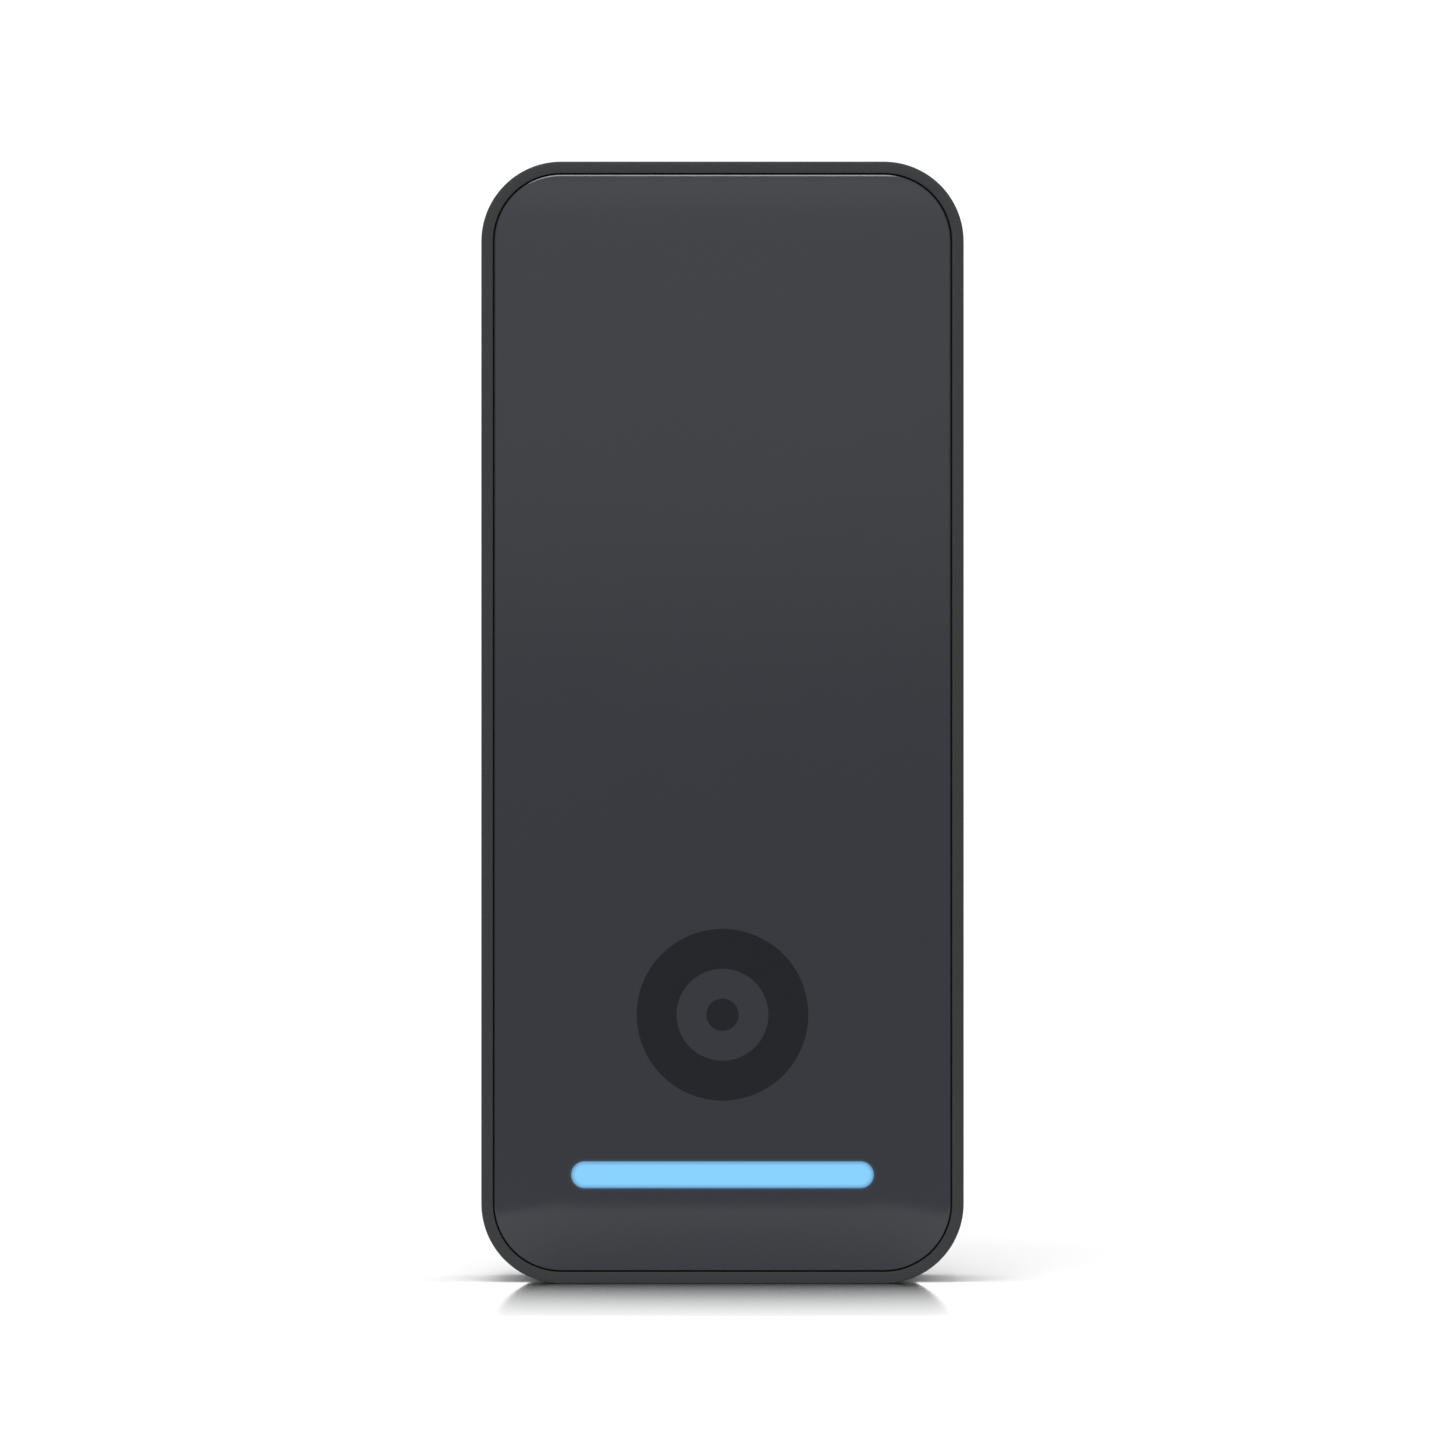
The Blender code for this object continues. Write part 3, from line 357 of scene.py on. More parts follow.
class Finish:
    """A node material under construction, round one Principled shader."""

    def __init__(self, name, **constants):
        self.material = bpy.data.materials.new(name)
        self.material.use_nodes = True
        self.tree = self.material.node_tree
        self.shader = self.tree.nodes["Principled BSDF"]
        for socket, value in constants.items():
            self.shader.inputs[socket.replace("_", " ")].default_value = value
        self.place = self.add("ShaderNodeTexCoord").outputs["Object"]

    def add(self, kind, **settings):
        node = self.tree.nodes.new(kind)
        for key, value in settings.items():
            setattr(node, key, value)
        return node

    def link(self, source, target):
        self.tree.links.new(source, target)

    def math(self, operation, first, second=0.0, clamp=False):
        node = self.add("ShaderNodeMath", operation=operation, use_clamp=clamp)
        for socket, value in zip(node.inputs, (first, second)):
            if isinstance(value, (int, float)):
                socket.default_value = value
            else:
                self.link(value, socket)
        return node.outputs[0]

    def ranged(self, value, low, high, to_low, to_high, smooth=False):
        node = self.add("ShaderNodeMapRange")
        if smooth:
            node.interpolation_type = "SMOOTHSTEP"
        self.link(value, node.inputs["Value"])
        for socket, number in zip(RANGE_SOCKETS, (low, high, to_low, to_high)):
            node.inputs[socket].default_value = number
        return node.outputs["Result"]

    def mapped(self, scale=(1.0, 1.0, 1.0), turn=(0.0, 0.0, 0.0)):
        node = self.add("ShaderNodeMapping")
        node.inputs["Scale"].default_value = scale
        node.inputs["Rotation"].default_value = turn
        self.link(self.place, node.inputs["Vector"])
        return node.outputs["Vector"]

    def noise(self, scale, detail=3.0, rough=0.5, at=None):
        node = self.add("ShaderNodeTexNoise")
        node.inputs["Scale"].default_value = scale
        node.inputs["Detail"].default_value = detail
        node.inputs["Roughness"].default_value = rough
        self.link(at or self.place, node.inputs["Vector"])
        return node.outputs["Fac"]

    def cells(self, scale, feature="F1", at=None):
        node = self.add("ShaderNodeTexVoronoi", feature=feature)
        node.inputs["Scale"].default_value = scale
        self.link(at or self.place, node.inputs["Vector"])
        return node.outputs["Distance"]

    def blend(self, factor, first, second):
        node = self.add("ShaderNodeMix", data_type="RGBA")
        self.link(factor, node.inputs["Factor"])
        for socket, value in ((node.inputs["A"], first), (node.inputs["B"], second)):
            if isinstance(value, bpy.types.NodeSocket):
                self.link(value, socket)
            else:
                socket.default_value = (*value, 1.0)
        return node.outputs["Result"]

    def separate(self):
        node = self.add("ShaderNodeSeparateXYZ")
        self.link(self.place, node.inputs[0])
        return node.outputs

    def worn_edges(self, low=0.53, high=0.62):
        """1 at outer edges, falling to 0 away from them. It spreads along triangles that meet an edge."""
        pointed = self.add("ShaderNodeNewGeometry").outputs["Pointiness"]
        return self.ranged(pointed, low, high, 0.0, 1.0, smooth=True)

    def off_level(self):
        """0 on level front and back faces, where edge wear would spread along slim triangles."""
        normal = self.add("ShaderNodeSeparateXYZ")
        self.link(self.place.node.outputs["Normal"], normal.inputs[0])
        return self.ranged(self.math("ABSOLUTE", normal.outputs["Y"]), 0.985, 0.998, 1.0, 0.0)

    def colour(self, source):
        self.link(source, self.shader.inputs["Base Color"])

    def roughness(self, source, low, high):
        self.link(self.ranged(source, 0.25, 0.75, low, high), self.shader.inputs["Roughness"])

    def bump(self, *layers):
        """Stacks (height, strength, distance) layers into the shader's normal."""
        previous = None
        for height, strength, distance in layers:
            node = self.add("ShaderNodeBump")
            node.inputs["Strength"].default_value = strength
            node.inputs["Distance"].default_value = distance
            self.link(height, node.inputs["Height"])
            if previous:
                self.link(previous, node.inputs["Normal"])
            previous = node.outputs["Normal"]
        self.link(previous, self.shader.inputs["Normal"])


def shade(tone, factor):
    return tuple(min(1.0, channel * factor) for channel in tone)


def moulded(name, tone, roughness=0.5, grain=3200.0, depth=0.00002, wear=0.35, **constants):
    """Spark-textured moulded plastic, a little polished along its edges."""
    made = Finish(name, **constants)
    cloud = made.noise(38.0, 4.0)
    fine = made.noise(grain, 2.0, 0.6)
    edges = made.math("MULTIPLY", made.worn_edges(), wear)
    body = made.blend(cloud, shade(tone, 0.93), shade(tone, 1.07))
    made.colour(made.blend(edges, body, shade(tone, 1.7)))
    made.roughness(fine, roughness - 0.06, roughness + 0.06)
    made.bump((cloud, 0.04, 0.0004), (fine, 0.30, depth))
    return made.material


def bar_distance(made):
    """How far a point of the front lies from the middle line of the light bar."""
    half_run, level = bar_line()
    x, _, z = made.separate()
    beyond = made.math("MAXIMUM", made.math("SUBTRACT", made.math("ABSOLUTE", x), half_run), 0.0)
    rise = made.math("SUBTRACT", z, level)
    square = made.math("ADD", made.math("MULTIPLY", beyond, beyond), made.math("MULTIPLY", rise, rise))
    return made.math("SQRT", square)


def bar_size():
    """Width and height of the light guide's tongue, which its flange passes by a margin all round."""
    low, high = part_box("light_guide")
    return high.x - low.x - 2 * FLANGE_MARGIN, high.z - low.z - 2 * FLANGE_MARGIN


def bar_line():
    """Half the length of the light bar's middle line, and its height."""
    low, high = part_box("light_guide")
    width, height = bar_size()
    return (width - height) / 2, (low.z + high.z) / 2


def smoked_panel():
    """Smooth dark polycarbonate: a faint flow in its gloss, fine grain, and a painted glow of the bar
    beside it.
    """
    tone = colours().panel
    made = Finish("panel_gloss", IOR=1.58)
    flow = made.noise(9.0, 2.0)
    fine = made.noise(2600.0, 2.0)
    edges = made.math("MULTIPLY", made.worn_edges(0.56, 0.70), 0.25)
    body = made.blend(flow, shade(tone, 0.98), shade(tone, 1.02))
    made.colour(made.blend(edges, body, shade(tone, 1.5)))
    made.roughness(made.noise(60.0, 4.0), 0.14, 0.18)
    made.bump((flow, 0.02, 0.0006), (fine, 0.05, 0.00001))
    radius = bar_size()[1] / 2
    # Painted glow: the panel itself emits the bar's colour in a thin band round the slot, fading out within
    # half a millimetre.
    glow = made.ranged(bar_distance(made), radius, radius + 0.0005, 0.035, 0.0, smooth=True)
    made.shader.inputs["Emission Color"].default_value = (*colours().light, 1.0)
    made.link(glow, made.shader.inputs["Emission Strength"])
    return made.material


def lit_window():
    """The light guide's frosted window: bright along its middle line, dark by its edge."""
    s = sizes()
    made = Finish("lit_window", IOR=1.49)
    lit, blur = s.bar_lit_height / 2, s.bar_blur / 2
    glow = made.ranged(bar_distance(made), lit - blur, lit + blur, 0.97, 0.0, smooth=True)
    made.shader.inputs["Emission Color"].default_value = (*colours().light, 1.0)
    made.link(glow, made.shader.inputs["Emission Strength"])
    frost = made.noise(1800.0, 3.0)
    made.colour(made.blend(frost, (0.022, 0.026, 0.030), (0.032, 0.036, 0.040)))
    made.roughness(frost, 0.42, 0.50)
    made.bump((frost, 0.08, 0.00001))
    return made.material


def ink(name, tone):
    """Screen-printed ink: finely mottled, a little glossier than the panel under it."""
    made = Finish(name, Specular_IOR_Level=0.12)
    mottle = made.noise(900.0, 4.0)
    made.colour(made.blend(mottle, shade(tone, 0.92), shade(tone, 1.08)))
    made.roughness(mottle, 0.50, 0.62)
    made.bump((made.noise(3000.0, 2.0), 0.04, 0.00001))
    return made.material


def foam(name, tone):
    """Closed-cell foam with open skin pores, with the shade in them painted in."""
    made = Finish(name)
    pores = made.cells(2300.0)
    cloud = made.noise(120.0, 3.0)
    # Painted shade: the pores' centres are darker than the cell walls round them.
    made.colour(made.blend(pores, shade(tone, 0.45), shade(tone, 1.9)))
    made.roughness(cloud, 0.86, 0.96)
    made.bump((cloud, 0.20, 0.0002), (pores, 0.65, 0.00012))
    return made.material


def rubber(name, tone):
    """Dull moulded rubber with a fine, soft grain."""
    made = Finish(name)
    fine = made.noise(1500.0, 3.0)
    cloud = made.noise(90.0, 3.0)
    made.colour(made.blend(cloud, shade(tone, 0.85), shade(tone, 1.25)))
    made.roughness(fine, 0.66, 0.80)
    made.bump((fine, 0.20, 0.00003))
    return made.material


def blasted_metal(name, tone, roughness=0.38):
    """Bead-blasted sheet: even grain, faint rolling streaks and bright edges."""
    made = Finish(name, Metallic=1.0)
    grain = made.noise(2400.0, 3.0, 0.6)
    streaks = made.noise(60.0, 4.0, at=made.mapped((1.0, 1.0, 0.06)))
    strength = made.math("MULTIPLY", made.off_level(), 0.6)
    edges = made.math("MULTIPLY", made.worn_edges(0.52, 0.60), strength)
    body = made.blend(streaks, shade(tone, 0.90), shade(tone, 1.06))
    made.colour(made.blend(edges, body, shade(tone, 1.35)))
    made.roughness(grain, roughness - 0.07, roughness + 0.09)
    made.bump((streaks, 0.05, 0.0002), (grain, 0.28, 0.00002))
    return made.material


def turned_steel(name, tone, roughness=0.28):
    """Plated steel with the fine lines of turning and a few darker handling marks."""
    made = Finish(name, Metallic=1.0)
    lines = made.noise(5200.0, 2.0)
    stain = made.noise(420.0, 4.0)
    edges = made.math("MULTIPLY", made.worn_edges(0.52, 0.62), 0.5)
    body = made.blend(stain, shade(tone, 0.78), shade(tone, 1.10))
    made.colour(made.blend(edges, body, shade(tone, 1.6)))
    made.roughness(stain, roughness - 0.05, roughness + 0.10)
    made.bump((lines, 0.15, 0.00001))
    return made.material


def board_finish(name, tone):
    """Solder resist over copper: raised tracks in a lattice, pads where they stop."""
    made = Finish(name, IOR=1.52, Coat_Weight=0.4, Coat_Roughness=0.12)
    tracks = made.add("ShaderNodeTexBrick", offset=0.37, squash=0.8, squash_frequency=3)
    made.link(made.mapped(turn=(math.pi / 2, 0.0, 0.0)), tracks.inputs["Vector"])
    tracks.inputs["Scale"].default_value = 260.0
    tracks.inputs["Mortar Size"].default_value = 0.035
    tracks.inputs["Mortar Smooth"].default_value = 0.2
    raised = tracks.outputs["Fac"]
    made.colour(made.blend(raised, tone, shade(tone, 1.9)))
    made.roughness(made.noise(300.0, 3.0), 0.32, 0.46)
    made.bump((raised, 0.35, 0.00004), (made.noise(1900.0), 0.05, 0.00001))
    return made.material


def film(name, tone, roughness=0.45):
    """Printed or coated film with a faint fibre in it."""
    made = Finish(name)
    fibre = made.noise(700.0, 5.0, at=made.mapped((1.0, 1.0, 0.35)))
    made.colour(made.blend(fibre, shade(tone, 0.95), shade(tone, 1.04)))
    made.roughness(fibre, roughness - 0.06, roughness + 0.06)
    made.bump((fibre, 0.06, 0.00002))
    return made.material


def ferrite(name):
    """Sintered powder: dark, speckled and dull."""
    made = Finish(name)
    specks = made.noise(2600.0, 4.0, 0.7)
    made.colour(made.blend(specks, (0.030, 0.030, 0.033), (0.085, 0.085, 0.090)))
    made.roughness(specks, 0.52, 0.70)
    made.bump((specks, 0.30, 0.00003))
    return made.material


_finishes = {}


def finish(key):
    """A finish of the reader, made on its first use."""
    if key not in _finishes:
        tones = colours()
        makers = {
            "case": lambda: moulded("matte_case", tones.case, 0.55),
            "black": lambda: moulded("black_moulding", (0.020, 0.020, 0.022), 0.50),
            "panel": smoked_panel,
            "window": lit_window,
            "mark": lambda: ink("mark_ink", tones.mark),
            "foam": lambda: foam("seal_foam", tones.foam),
            "rubber": lambda: rubber("soft_rubber", tones.rubber),
            "metal": lambda: blasted_metal("bracket_blasted", tones.metal),
            "steel": lambda: turned_steel("screw_plating", tones.steel),
            "spring": lambda: turned_steel("spring_wire", shade(tones.steel, 0.9), 0.22),
            "tin": lambda: blasted_metal("tinned_sheet", (0.60, 0.61, 0.62), 0.30),
            "board": lambda: board_finish("solder_resist", tones.board),
            "copper": lambda: turned_steel("coil_copper", (0.72, 0.33, 0.18), 0.30),
            "brass": lambda: turned_steel("gilt_contacts", (0.80, 0.60, 0.27), 0.25),
            "ferrite": lambda: ferrite("sintered_ferrite"),
            "amber": lambda: film("amber_ribbon", (0.50, 0.24, 0.045), 0.30),
            "label": lambda: film("blank_label", tones.label),
            "led": lambda: film("led_lens", (0.80, 0.78, 0.62), 0.35),
        }
        _finishes[key] = makers[key]()
    return _finishes[key]


# --- Pieces -----------------------------------------------------------------------------------------


def depth_of(y):
    return y - FACE_Y


def box_middle(node):
    low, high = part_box(node)
    return (low + high) / 2


def middle_at(low, high, y):
    """The middle of a box as the front shows it, at this place along Y."""
    return Vector(((low.x + high.x) / 2, y, (low.z + high.z) / 2))


def add_post(bm, x, z, root, radius, end, pilot=0.0, pilot_start=0.0):
    """A turned post between two depths, with a blind hole in its back where it has a pilot."""
    tip = [(0.0, pilot_start), (pilot, pilot_start), (pilot, end)] if pilot else [(0.0, end)]
    profile = [*tip, (radius, end), (radius, root), (0.0, root)]
    lathe(bm, profile, Vector((x, FACE_Y, z)), TO_BACK, steps=32)


def add_front_posts(bm, floor):
    """The posts for the case screws and the light board's screws, and the inner frame's studs."""
    root = floor - POST_OVERLAP
    for number in range(1, 5):
        screw = box_middle(f"case_screw_{number}")
        add_post(bm, screw.x, screw.z, root, *CASE_POST)
    for tag, side in (("left", -1), ("right", 1)):
        screw = box_middle(f"light_screw_{tag}")
        add_post(bm, screw.x, screw.z, root, *LIGHT_POST)
        for height in STUD_HEIGHTS:
            add_post(bm, side * STUD_X, LOW.z + height, root, *STUD)


def make_front_shell():
    """The matte front housing: rounded rim, panel seat with the bar's slot, side wall and posts."""
    s = sizes()
    seat = depth_of(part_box("panel_adhesive")[1].y) + TAPE_GAP
    floor = seat + SEAT_THICKNESS
    parting = depth_of(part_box("perimeter_seal")[0].y) - PARTING_GAP
    bm = bmesh.new()
    case_prism(bm, 0.0, 0.0, parting)
    front_edges = list(facing(bm, -1).edges)
    bmesh.ops.bevel(
        bm, geom=front_edges, offset=s.rim_rounding, segments=6, profile=0.5, affect="EDGES", material=-1
    )
    bm.normal_update()
    flat = s.rim - s.rim_rounding - s.inner_rounding
    rim_steps = [(flat, 0.0), *rolled(s.inner_rounding), (0.0, seat - s.inner_rounding)]
    seat_face = walk(bm, facing(bm, -1), rim_steps)
    cavity = walk(bm, facing(bm, 1), [(s.wall, 0.0), (0.0, floor - parting)])
    seat_loop, cavity_loop = opened(bm, seat_face), opened(bm, cavity)
    level = bar_line()[1]
    width, height = (side + 2 * s.slot_gap for side in bar_size())
    slot_front, slot_back = stadium_wall(bm, width, height, seat, floor, (0.0, level))
    fill_ring(bm, seat_loop, slot_front)
    fill_ring(bm, cavity_loop, slot_back)
    add_front_posts(bm, floor)
    return finished(bm, "front_shell", "reader", finish("case"), ("front_housing",))


def make_panel():
    """The smooth panel with its bright chamfer and the slot that the light shows through."""
    s = sizes()
    thick = depth_of(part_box("front_panel")[1].y)
    bm = bmesh.new()
    case_prism(bm, s.rim + s.groove, s.panel_drop, thick)
    face = facing(bm, -1)
    bmesh.ops.inset_individual(bm, faces=[face], thickness=s.panel_chamfer, depth=0.0, use_even_offset=True)
    bmesh.ops.translate(bm, vec=(0.0, -s.panel_drop, 0.0), verts=face.verts)
    bm.normal_update()
    back = facing(bm, 1)
    front_loop, back_loop = opened(bm, face), opened(bm, back)
    level = bar_line()[1]
    width, height = (side + 2 * s.panel_slot_gap for side in bar_size())
    slot_front, slot_back = stadium_wall(bm, width, height, 0.0, thick, (0.0, level))
    fill_ring(bm, front_loop, slot_front)
    fill_ring(bm, back_loop, slot_back)
    return finished(bm, "smooth_panel", "reader", finish("panel"), ("front_panel",))


def make_light_window():
    """The light guide: a frosted tongue with rounded edges, flush with the panel, on its flange."""
    low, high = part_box("light_guide")
    rounding = 0.00018
    back = depth_of(high.y)
    flange = back - FLANGE_THICKNESS
    flange_height = high.z - low.z
    bm = bmesh.new()
    place = (0.0, bar_line()[1])
    prism(bm, high.x - low.x, flange_height, flange_height / 2 - 1e-6, flange, back, place)
    walk(bm, facing(bm, -1), [(FLANGE_MARGIN, 0.0), (0.0, rounding - flange), *rolled_out(rounding)])
    return finished(bm, "light_window", "reader", finish("window"), ("light_guide",))


def make_mark():
    """A plain tap mark printed on the panel: a ring round a dot."""
    s = sizes()
    centre = Vector((0.0, FACE_Y, LOW.z + s.mark_height))
    film_thickness = 0.00002
    bm = bmesh.new()
    outer = circle(bm, s.mark_diameter / 2, centre, TO_FRONT, 128)
    inner = circle(bm, s.mark_diameter / 2 - s.mark_stroke, centre, TO_FRONT, 128)
    bmesh.ops.bridge_loops(bm, edges=outer + inner)
    dot = circle(bm, s.mark_dot / 2, centre, TO_FRONT, 64)
    bmesh.ops.contextual_create(bm, geom=dot)
    bmesh.ops.recalc_face_normals(bm, faces=bm.faces)
    made = bmesh.ops.extrude_face_region(bm, geom=list(bm.faces), use_keep_orig=True)["geom"]
    moved = [item for item in made if isinstance(item, bmesh.types.BMVert)]
    bmesh.ops.translate(bm, vec=TO_FRONT * film_thickness, verts=moved)
    return finished(bm, "tap_mark", "reader", finish("mark"))


def plate_ring(bm, outer, inner, depth):
    """A flat ring between two depths. outer and inner each draw a plate with that outline."""
    outer(*depth)
    front_loop, back_loop = opened(bm, facing(bm, -1)), opened(bm, facing(bm, 1))
    before = set(bm.edges)
    inner(*depth)
    flat = [face for face in bm.faces if abs(face.normal.y) > 0.999]
    bmesh.ops.delete(bm, geom=flat, context="FACES_ONLY")
    fresh = [edge for edge in bm.edges if edge not in before]
    for loop, level in ((front_loop, depth[0]), (back_loop, depth[1])):
        fill_ring(bm, loop, loop_at(bm, fresh, FACE_Y + level))


def make_parting_seal():
    """The rubber seal that shows as a dark line in the parting of the two housings."""
    low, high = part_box("perimeter_seal")
    inset = low.x - LOW.x
    bm = bmesh.new()

    def outline(drawn_in):
        return lambda front, back: case_prism(bm, drawn_in, front, back)

    plate_ring(bm, outline(inset), outline(sizes().wall), (depth_of(low.y), depth_of(high.y)))
    return finished(bm, "parting_seal", "reader", finish("rubber"), ("perimeter_seal",))


def make_rear_shell():
    """The matte rear housing with its cable bay, counterbores and sound holes."""
    case = finish("case")
    return refined("rear_housing", "rear_shell", "reader", case, bevel=0.00012)


def make_bracket():
    """The bent wall bracket with its broken edges, and the nut pressed into its lock tab."""
    refined("wall_bracket", "bracket_plate", "bracket", finish("metal"), bevel=0.00016)
    refined("bracket_nut", "tab_nut", "bracket", finish("steel"), bevel=0.00012)


def make_wall_gasket():
    """The foam ring behind the bracket, with its edges softened."""
    low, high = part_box("wall_gasket")
    ring = sizes().gasket_ring
    middle = (0.0, (low.z + high.z) / 2)
    width, height = high.x - low.x, high.z - low.z
    bm = bmesh.new()

    def outline(drawn_in, corner):
        inner_width, inner_height = width - 2 * drawn_in, height - 2 * drawn_in
        return lambda front, back: prism(
            bm, inner_width, inner_height, corner, front, back, middle, steps=12
        )

    plate_ring(bm, outline(0.0, 0.0045), outline(ring, 0.0020), (depth_of(low.y), depth_of(high.y)))
    return finished(
        bm, "foam_ring", "bracket", finish("foam"), ("wall_gasket",), bevel=0.0003
    )


def driven_screw(name, node, body, head, axis, socket, pin=False):
    """A screw with a dished head and a six-sided recess. head is the middle of the head's top."""
    low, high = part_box(node)
    span = abs((high - low).dot(axis))
    across = max((high - low) - axis * (high - low).dot(axis)) / 2
    head_height = min(span * 0.28, across * 0.75)
    shank = across * 0.52
    bm = bmesh.new()
    top = across * 0.80
    dish = across * 0.04
    rim = circle(bm, top, head, axis, ROUND_STEPS)
    recess = circle(bm, socket, head - axis * dish, axis, 6)
    bmesh.ops.triangle_fill(bm, edges=rim + recess, use_beauty=True)
    depth = head_height * 0.62
    floor = carried(bm, recess, -axis * depth)
    bottom = head - axis * (dish + depth)
    if pin:
        foot = circle(bm, socket * 0.34, bottom, axis, 24)
        bmesh.ops.triangle_fill(bm, edges=floor + foot, use_beauty=True)
        bmesh.ops.contextual_create(bm, geom=carried(bm, foot, axis * depth * 0.8))
    else:
        bmesh.ops.contextual_create(bm, geom=floor)
    route = (
        (across * 0.95, head_height * 0.22), (across, head_height * 0.45), (across, head_height),
        (shank, head_height), (shank, span - shank * 0.5), (shank * 0.6, span),
    )
    loop, radius, level = rim, top, 0.0
    for wide, target in route:
        centre = head - axis * level
        loop = carried(bm, loop, -axis * (target - level), centre, wide / radius)
        radius, level = wide, target
    bmesh.ops.contextual_create(bm, geom=loop)
    return finished(bm, name, body, finish("steel"), (node,), bevel=across * 0.02)


def make_case_screws():
    """The four case screws in their counterbores, seen from the back."""
    for number in range(1, 5):
        node = f"case_screw_{number}"
        low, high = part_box(node)
        head = middle_at(low, high, high.y)
        driven_screw(f"case_bolt_{number}", node, "reader", head, TO_BACK, 0.0011)


def make_lock_screw():
    """The security screw: a six-sided recess with a pin, seen from below."""
    low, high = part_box("security_screw")
    head = Vector(((low.x + high.x) / 2, (low.y + high.y) / 2, low.z))
    driven_screw(
        "lock_bolt", "security_screw", "lock_screw", head, Vector((0.0, 0.0, -1.0)), 0.00125, pin=True
    )


def make_plunger():
    """The tamper plunger with its domed tip, and its coil spring."""
    low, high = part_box("tamper_plunger")
    centre = middle_at(low, high, low.y)
    run = high.y - low.y
    stem, flange, nose = 0.0016, 0.0027, 0.0010
    flange_front, flange_back = 0.0021, 0.0031
    angles = [math.pi / 2 * n / 8 for n in range(9)]
    dome = [(stem * math.sin(a), run - stem * 0.5 * (1 - math.cos(a))) for a in angles]
    profile = [
        *dome, (stem, flange_back), (flange, flange_back), (flange, flange_front), (nose, flange_front),
        (nose, 0.0), (0.0, 0.0),
    ]
    bm = bmesh.new()
    lathe(bm, profile, centre, TO_BACK)
    finished(
        bm, "tamper_pin", "plunger", finish("black"), ("tamper_plunger",), bevel=0.0001
    )
    low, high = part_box("tamper_spring")
    wire, turns = 0.00015, 4
    radius = (high.x - low.x) / 2 - wire
    bm = coil_of_wire(centre, radius, wire, low.y + wire, high.y - wire, turns)
    spring = finished(bm, "plunger_spring", "reader", finish("spring"), ("tamper_spring",))
    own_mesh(spring)


def coil_of_wire(centre, radius, wire, start, end, turns):
    """A coil of wire about the depth axis: its section is spun with a rise, then closed at both ends."""
    bm = bmesh.new()
    foot = Vector((centre.x, start, centre.z))
    section = circle(bm, wire, foot + Vector((radius, 0.0, 0.0)), Vector((0.0, 0.0, 1.0)), 10)
    verts = list({vert for edge in section for vert in edge.verts})
    steps = COIL_STEPS * turns
    bmesh.ops.spin(
        bm, geom=section + verts, cent=foot, axis=(0.0, 1.0, 0.0), dvec=(0.0, (end - start) / steps, 0.0),
        angle=2 * math.pi * turns, steps=steps, use_merge=False,
    )
    bmesh.ops.holes_fill(bm, edges=bm.edges, sides=12)
    return bm


def make_reset_button():
    """The soft reset button, dished for a pin, on its flange."""
    low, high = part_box("reset_button")
    run = high.y - low.y
    cap, flange, nose = 0.0015, 0.0023, 0.0009
    flange_front, flange_back = 0.0040, 0.0049
    dish = [(0.0, run - 0.00016), (cap * 0.45, run - 0.00012), (cap * 0.78, run)]
    profile = [
        *dish, (cap, run - 0.0002), (cap, flange_back), (flange, flange_back), (flange, flange_front),
        (nose, flange_front), (nose, 0.0), (0.0, 0.0),
    ]
    bm = bmesh.new()
    lathe(bm, profile, middle_at(low, high, low.y), TO_BACK)
    return finished(
        bm, "reset_cap", "button", finish("rubber"), ("reset_button",), bevel=0.0001
    )


def add_block(bm, size, place):
    made = bmesh.ops.create_cube(bm, size=1.0)["verts"]
    bmesh.ops.scale(bm, vec=size, verts=made)
    bmesh.ops.translate(bm, vec=place, verts=made)


def make_jack():
    """The shielded jack, and the eight gilt contact wires in its port."""
    refined("ethernet_jack", "jack_shell", "reader", finish("tin"), bevel=0.0002)
    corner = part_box("ethernet_jack")[0]
    bm = bmesh.new()
    pitch, wide, thin = 0.00102, 0.0004, 0.0003
    for number in range(8):
        x = pitch * (number - 3.5)
        add_block(bm, (wide, thin, 0.0080), (x, corner.y + 0.0030, corner.z + 0.0075))
        add_block(bm, (wide, 0.0018, thin), (x, corner.y + 0.0039, corner.z + 0.0116))
    finished(bm, "jack_contacts", "reader", finish("brass"), bevel=0.00005)


def make_label():
    """The blank rating label: a film with rounded corners and a raised border line."""
    low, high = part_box("rating_label")
    front, back = depth_of(low.y), depth_of(high.y)
    bm = bmesh.new()
    prism(bm, high.x - low.x, high.z - low.z, 0.0008, front, back, (0.0, (low.z + high.z) / 2), steps=8)
    margin, slope, line, rise = 0.0008, 0.00004, 0.00012, 0.00003
    walk(bm, facing(bm, 1), [(margin, 0.0), (slope, rise), (line, 0.0), (slope, -rise)])
    return finished(bm, "label_film", "reader", finish("label"), ("rating_label",))


def make_board_details():
    """Small chips in rows on the main board's back, each a bevelled block."""
    low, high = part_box("main_board")
    picker = random.Random(7)
    bm = bmesh.new()
    taken = [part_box(name) for name in (
        "shield_can", "power_transformer", "capacitor_1", "capacitor_2", "main_connector",
        "tamper_switch", "reset_switch", "board_screw_1", "board_screw_2", "board_screw_3", "board_screw_4",
    )]
    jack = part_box("ethernet_jack")
    taken.append((jack[0] - Vector((0.001, 0.0, 0.001)), jack[1] + Vector((0.001, 0.0, 0.001))))
    grid, room = 0.0026, 0.0012
    for column in range(int((high.x - low.x) / grid)):
        for row in range(int((high.z - low.z) / grid)):
            if picker.random() < 0.45:
                continue
            long, short, tall = picker.choice(((0.0016, 0.0008, 0.0006), (0.0010, 0.0005, 0.0004)))
            x = low.x + grid * (column + 0.5)
            z = low.z + grid * (row + 0.5)
            if any(a.x - room < x < b.x + room and a.z - room < z < b.z + room for a, b in taken):
                continue
            turned = picker.random() < 0.5
            size = (long, tall, short) if turned else (short, tall, long)
            add_block(bm, size, (x, high.y + tall / 2, z))
    finished(bm, "board_chips", "reader", finish("ferrite"), bevel=0.00006)


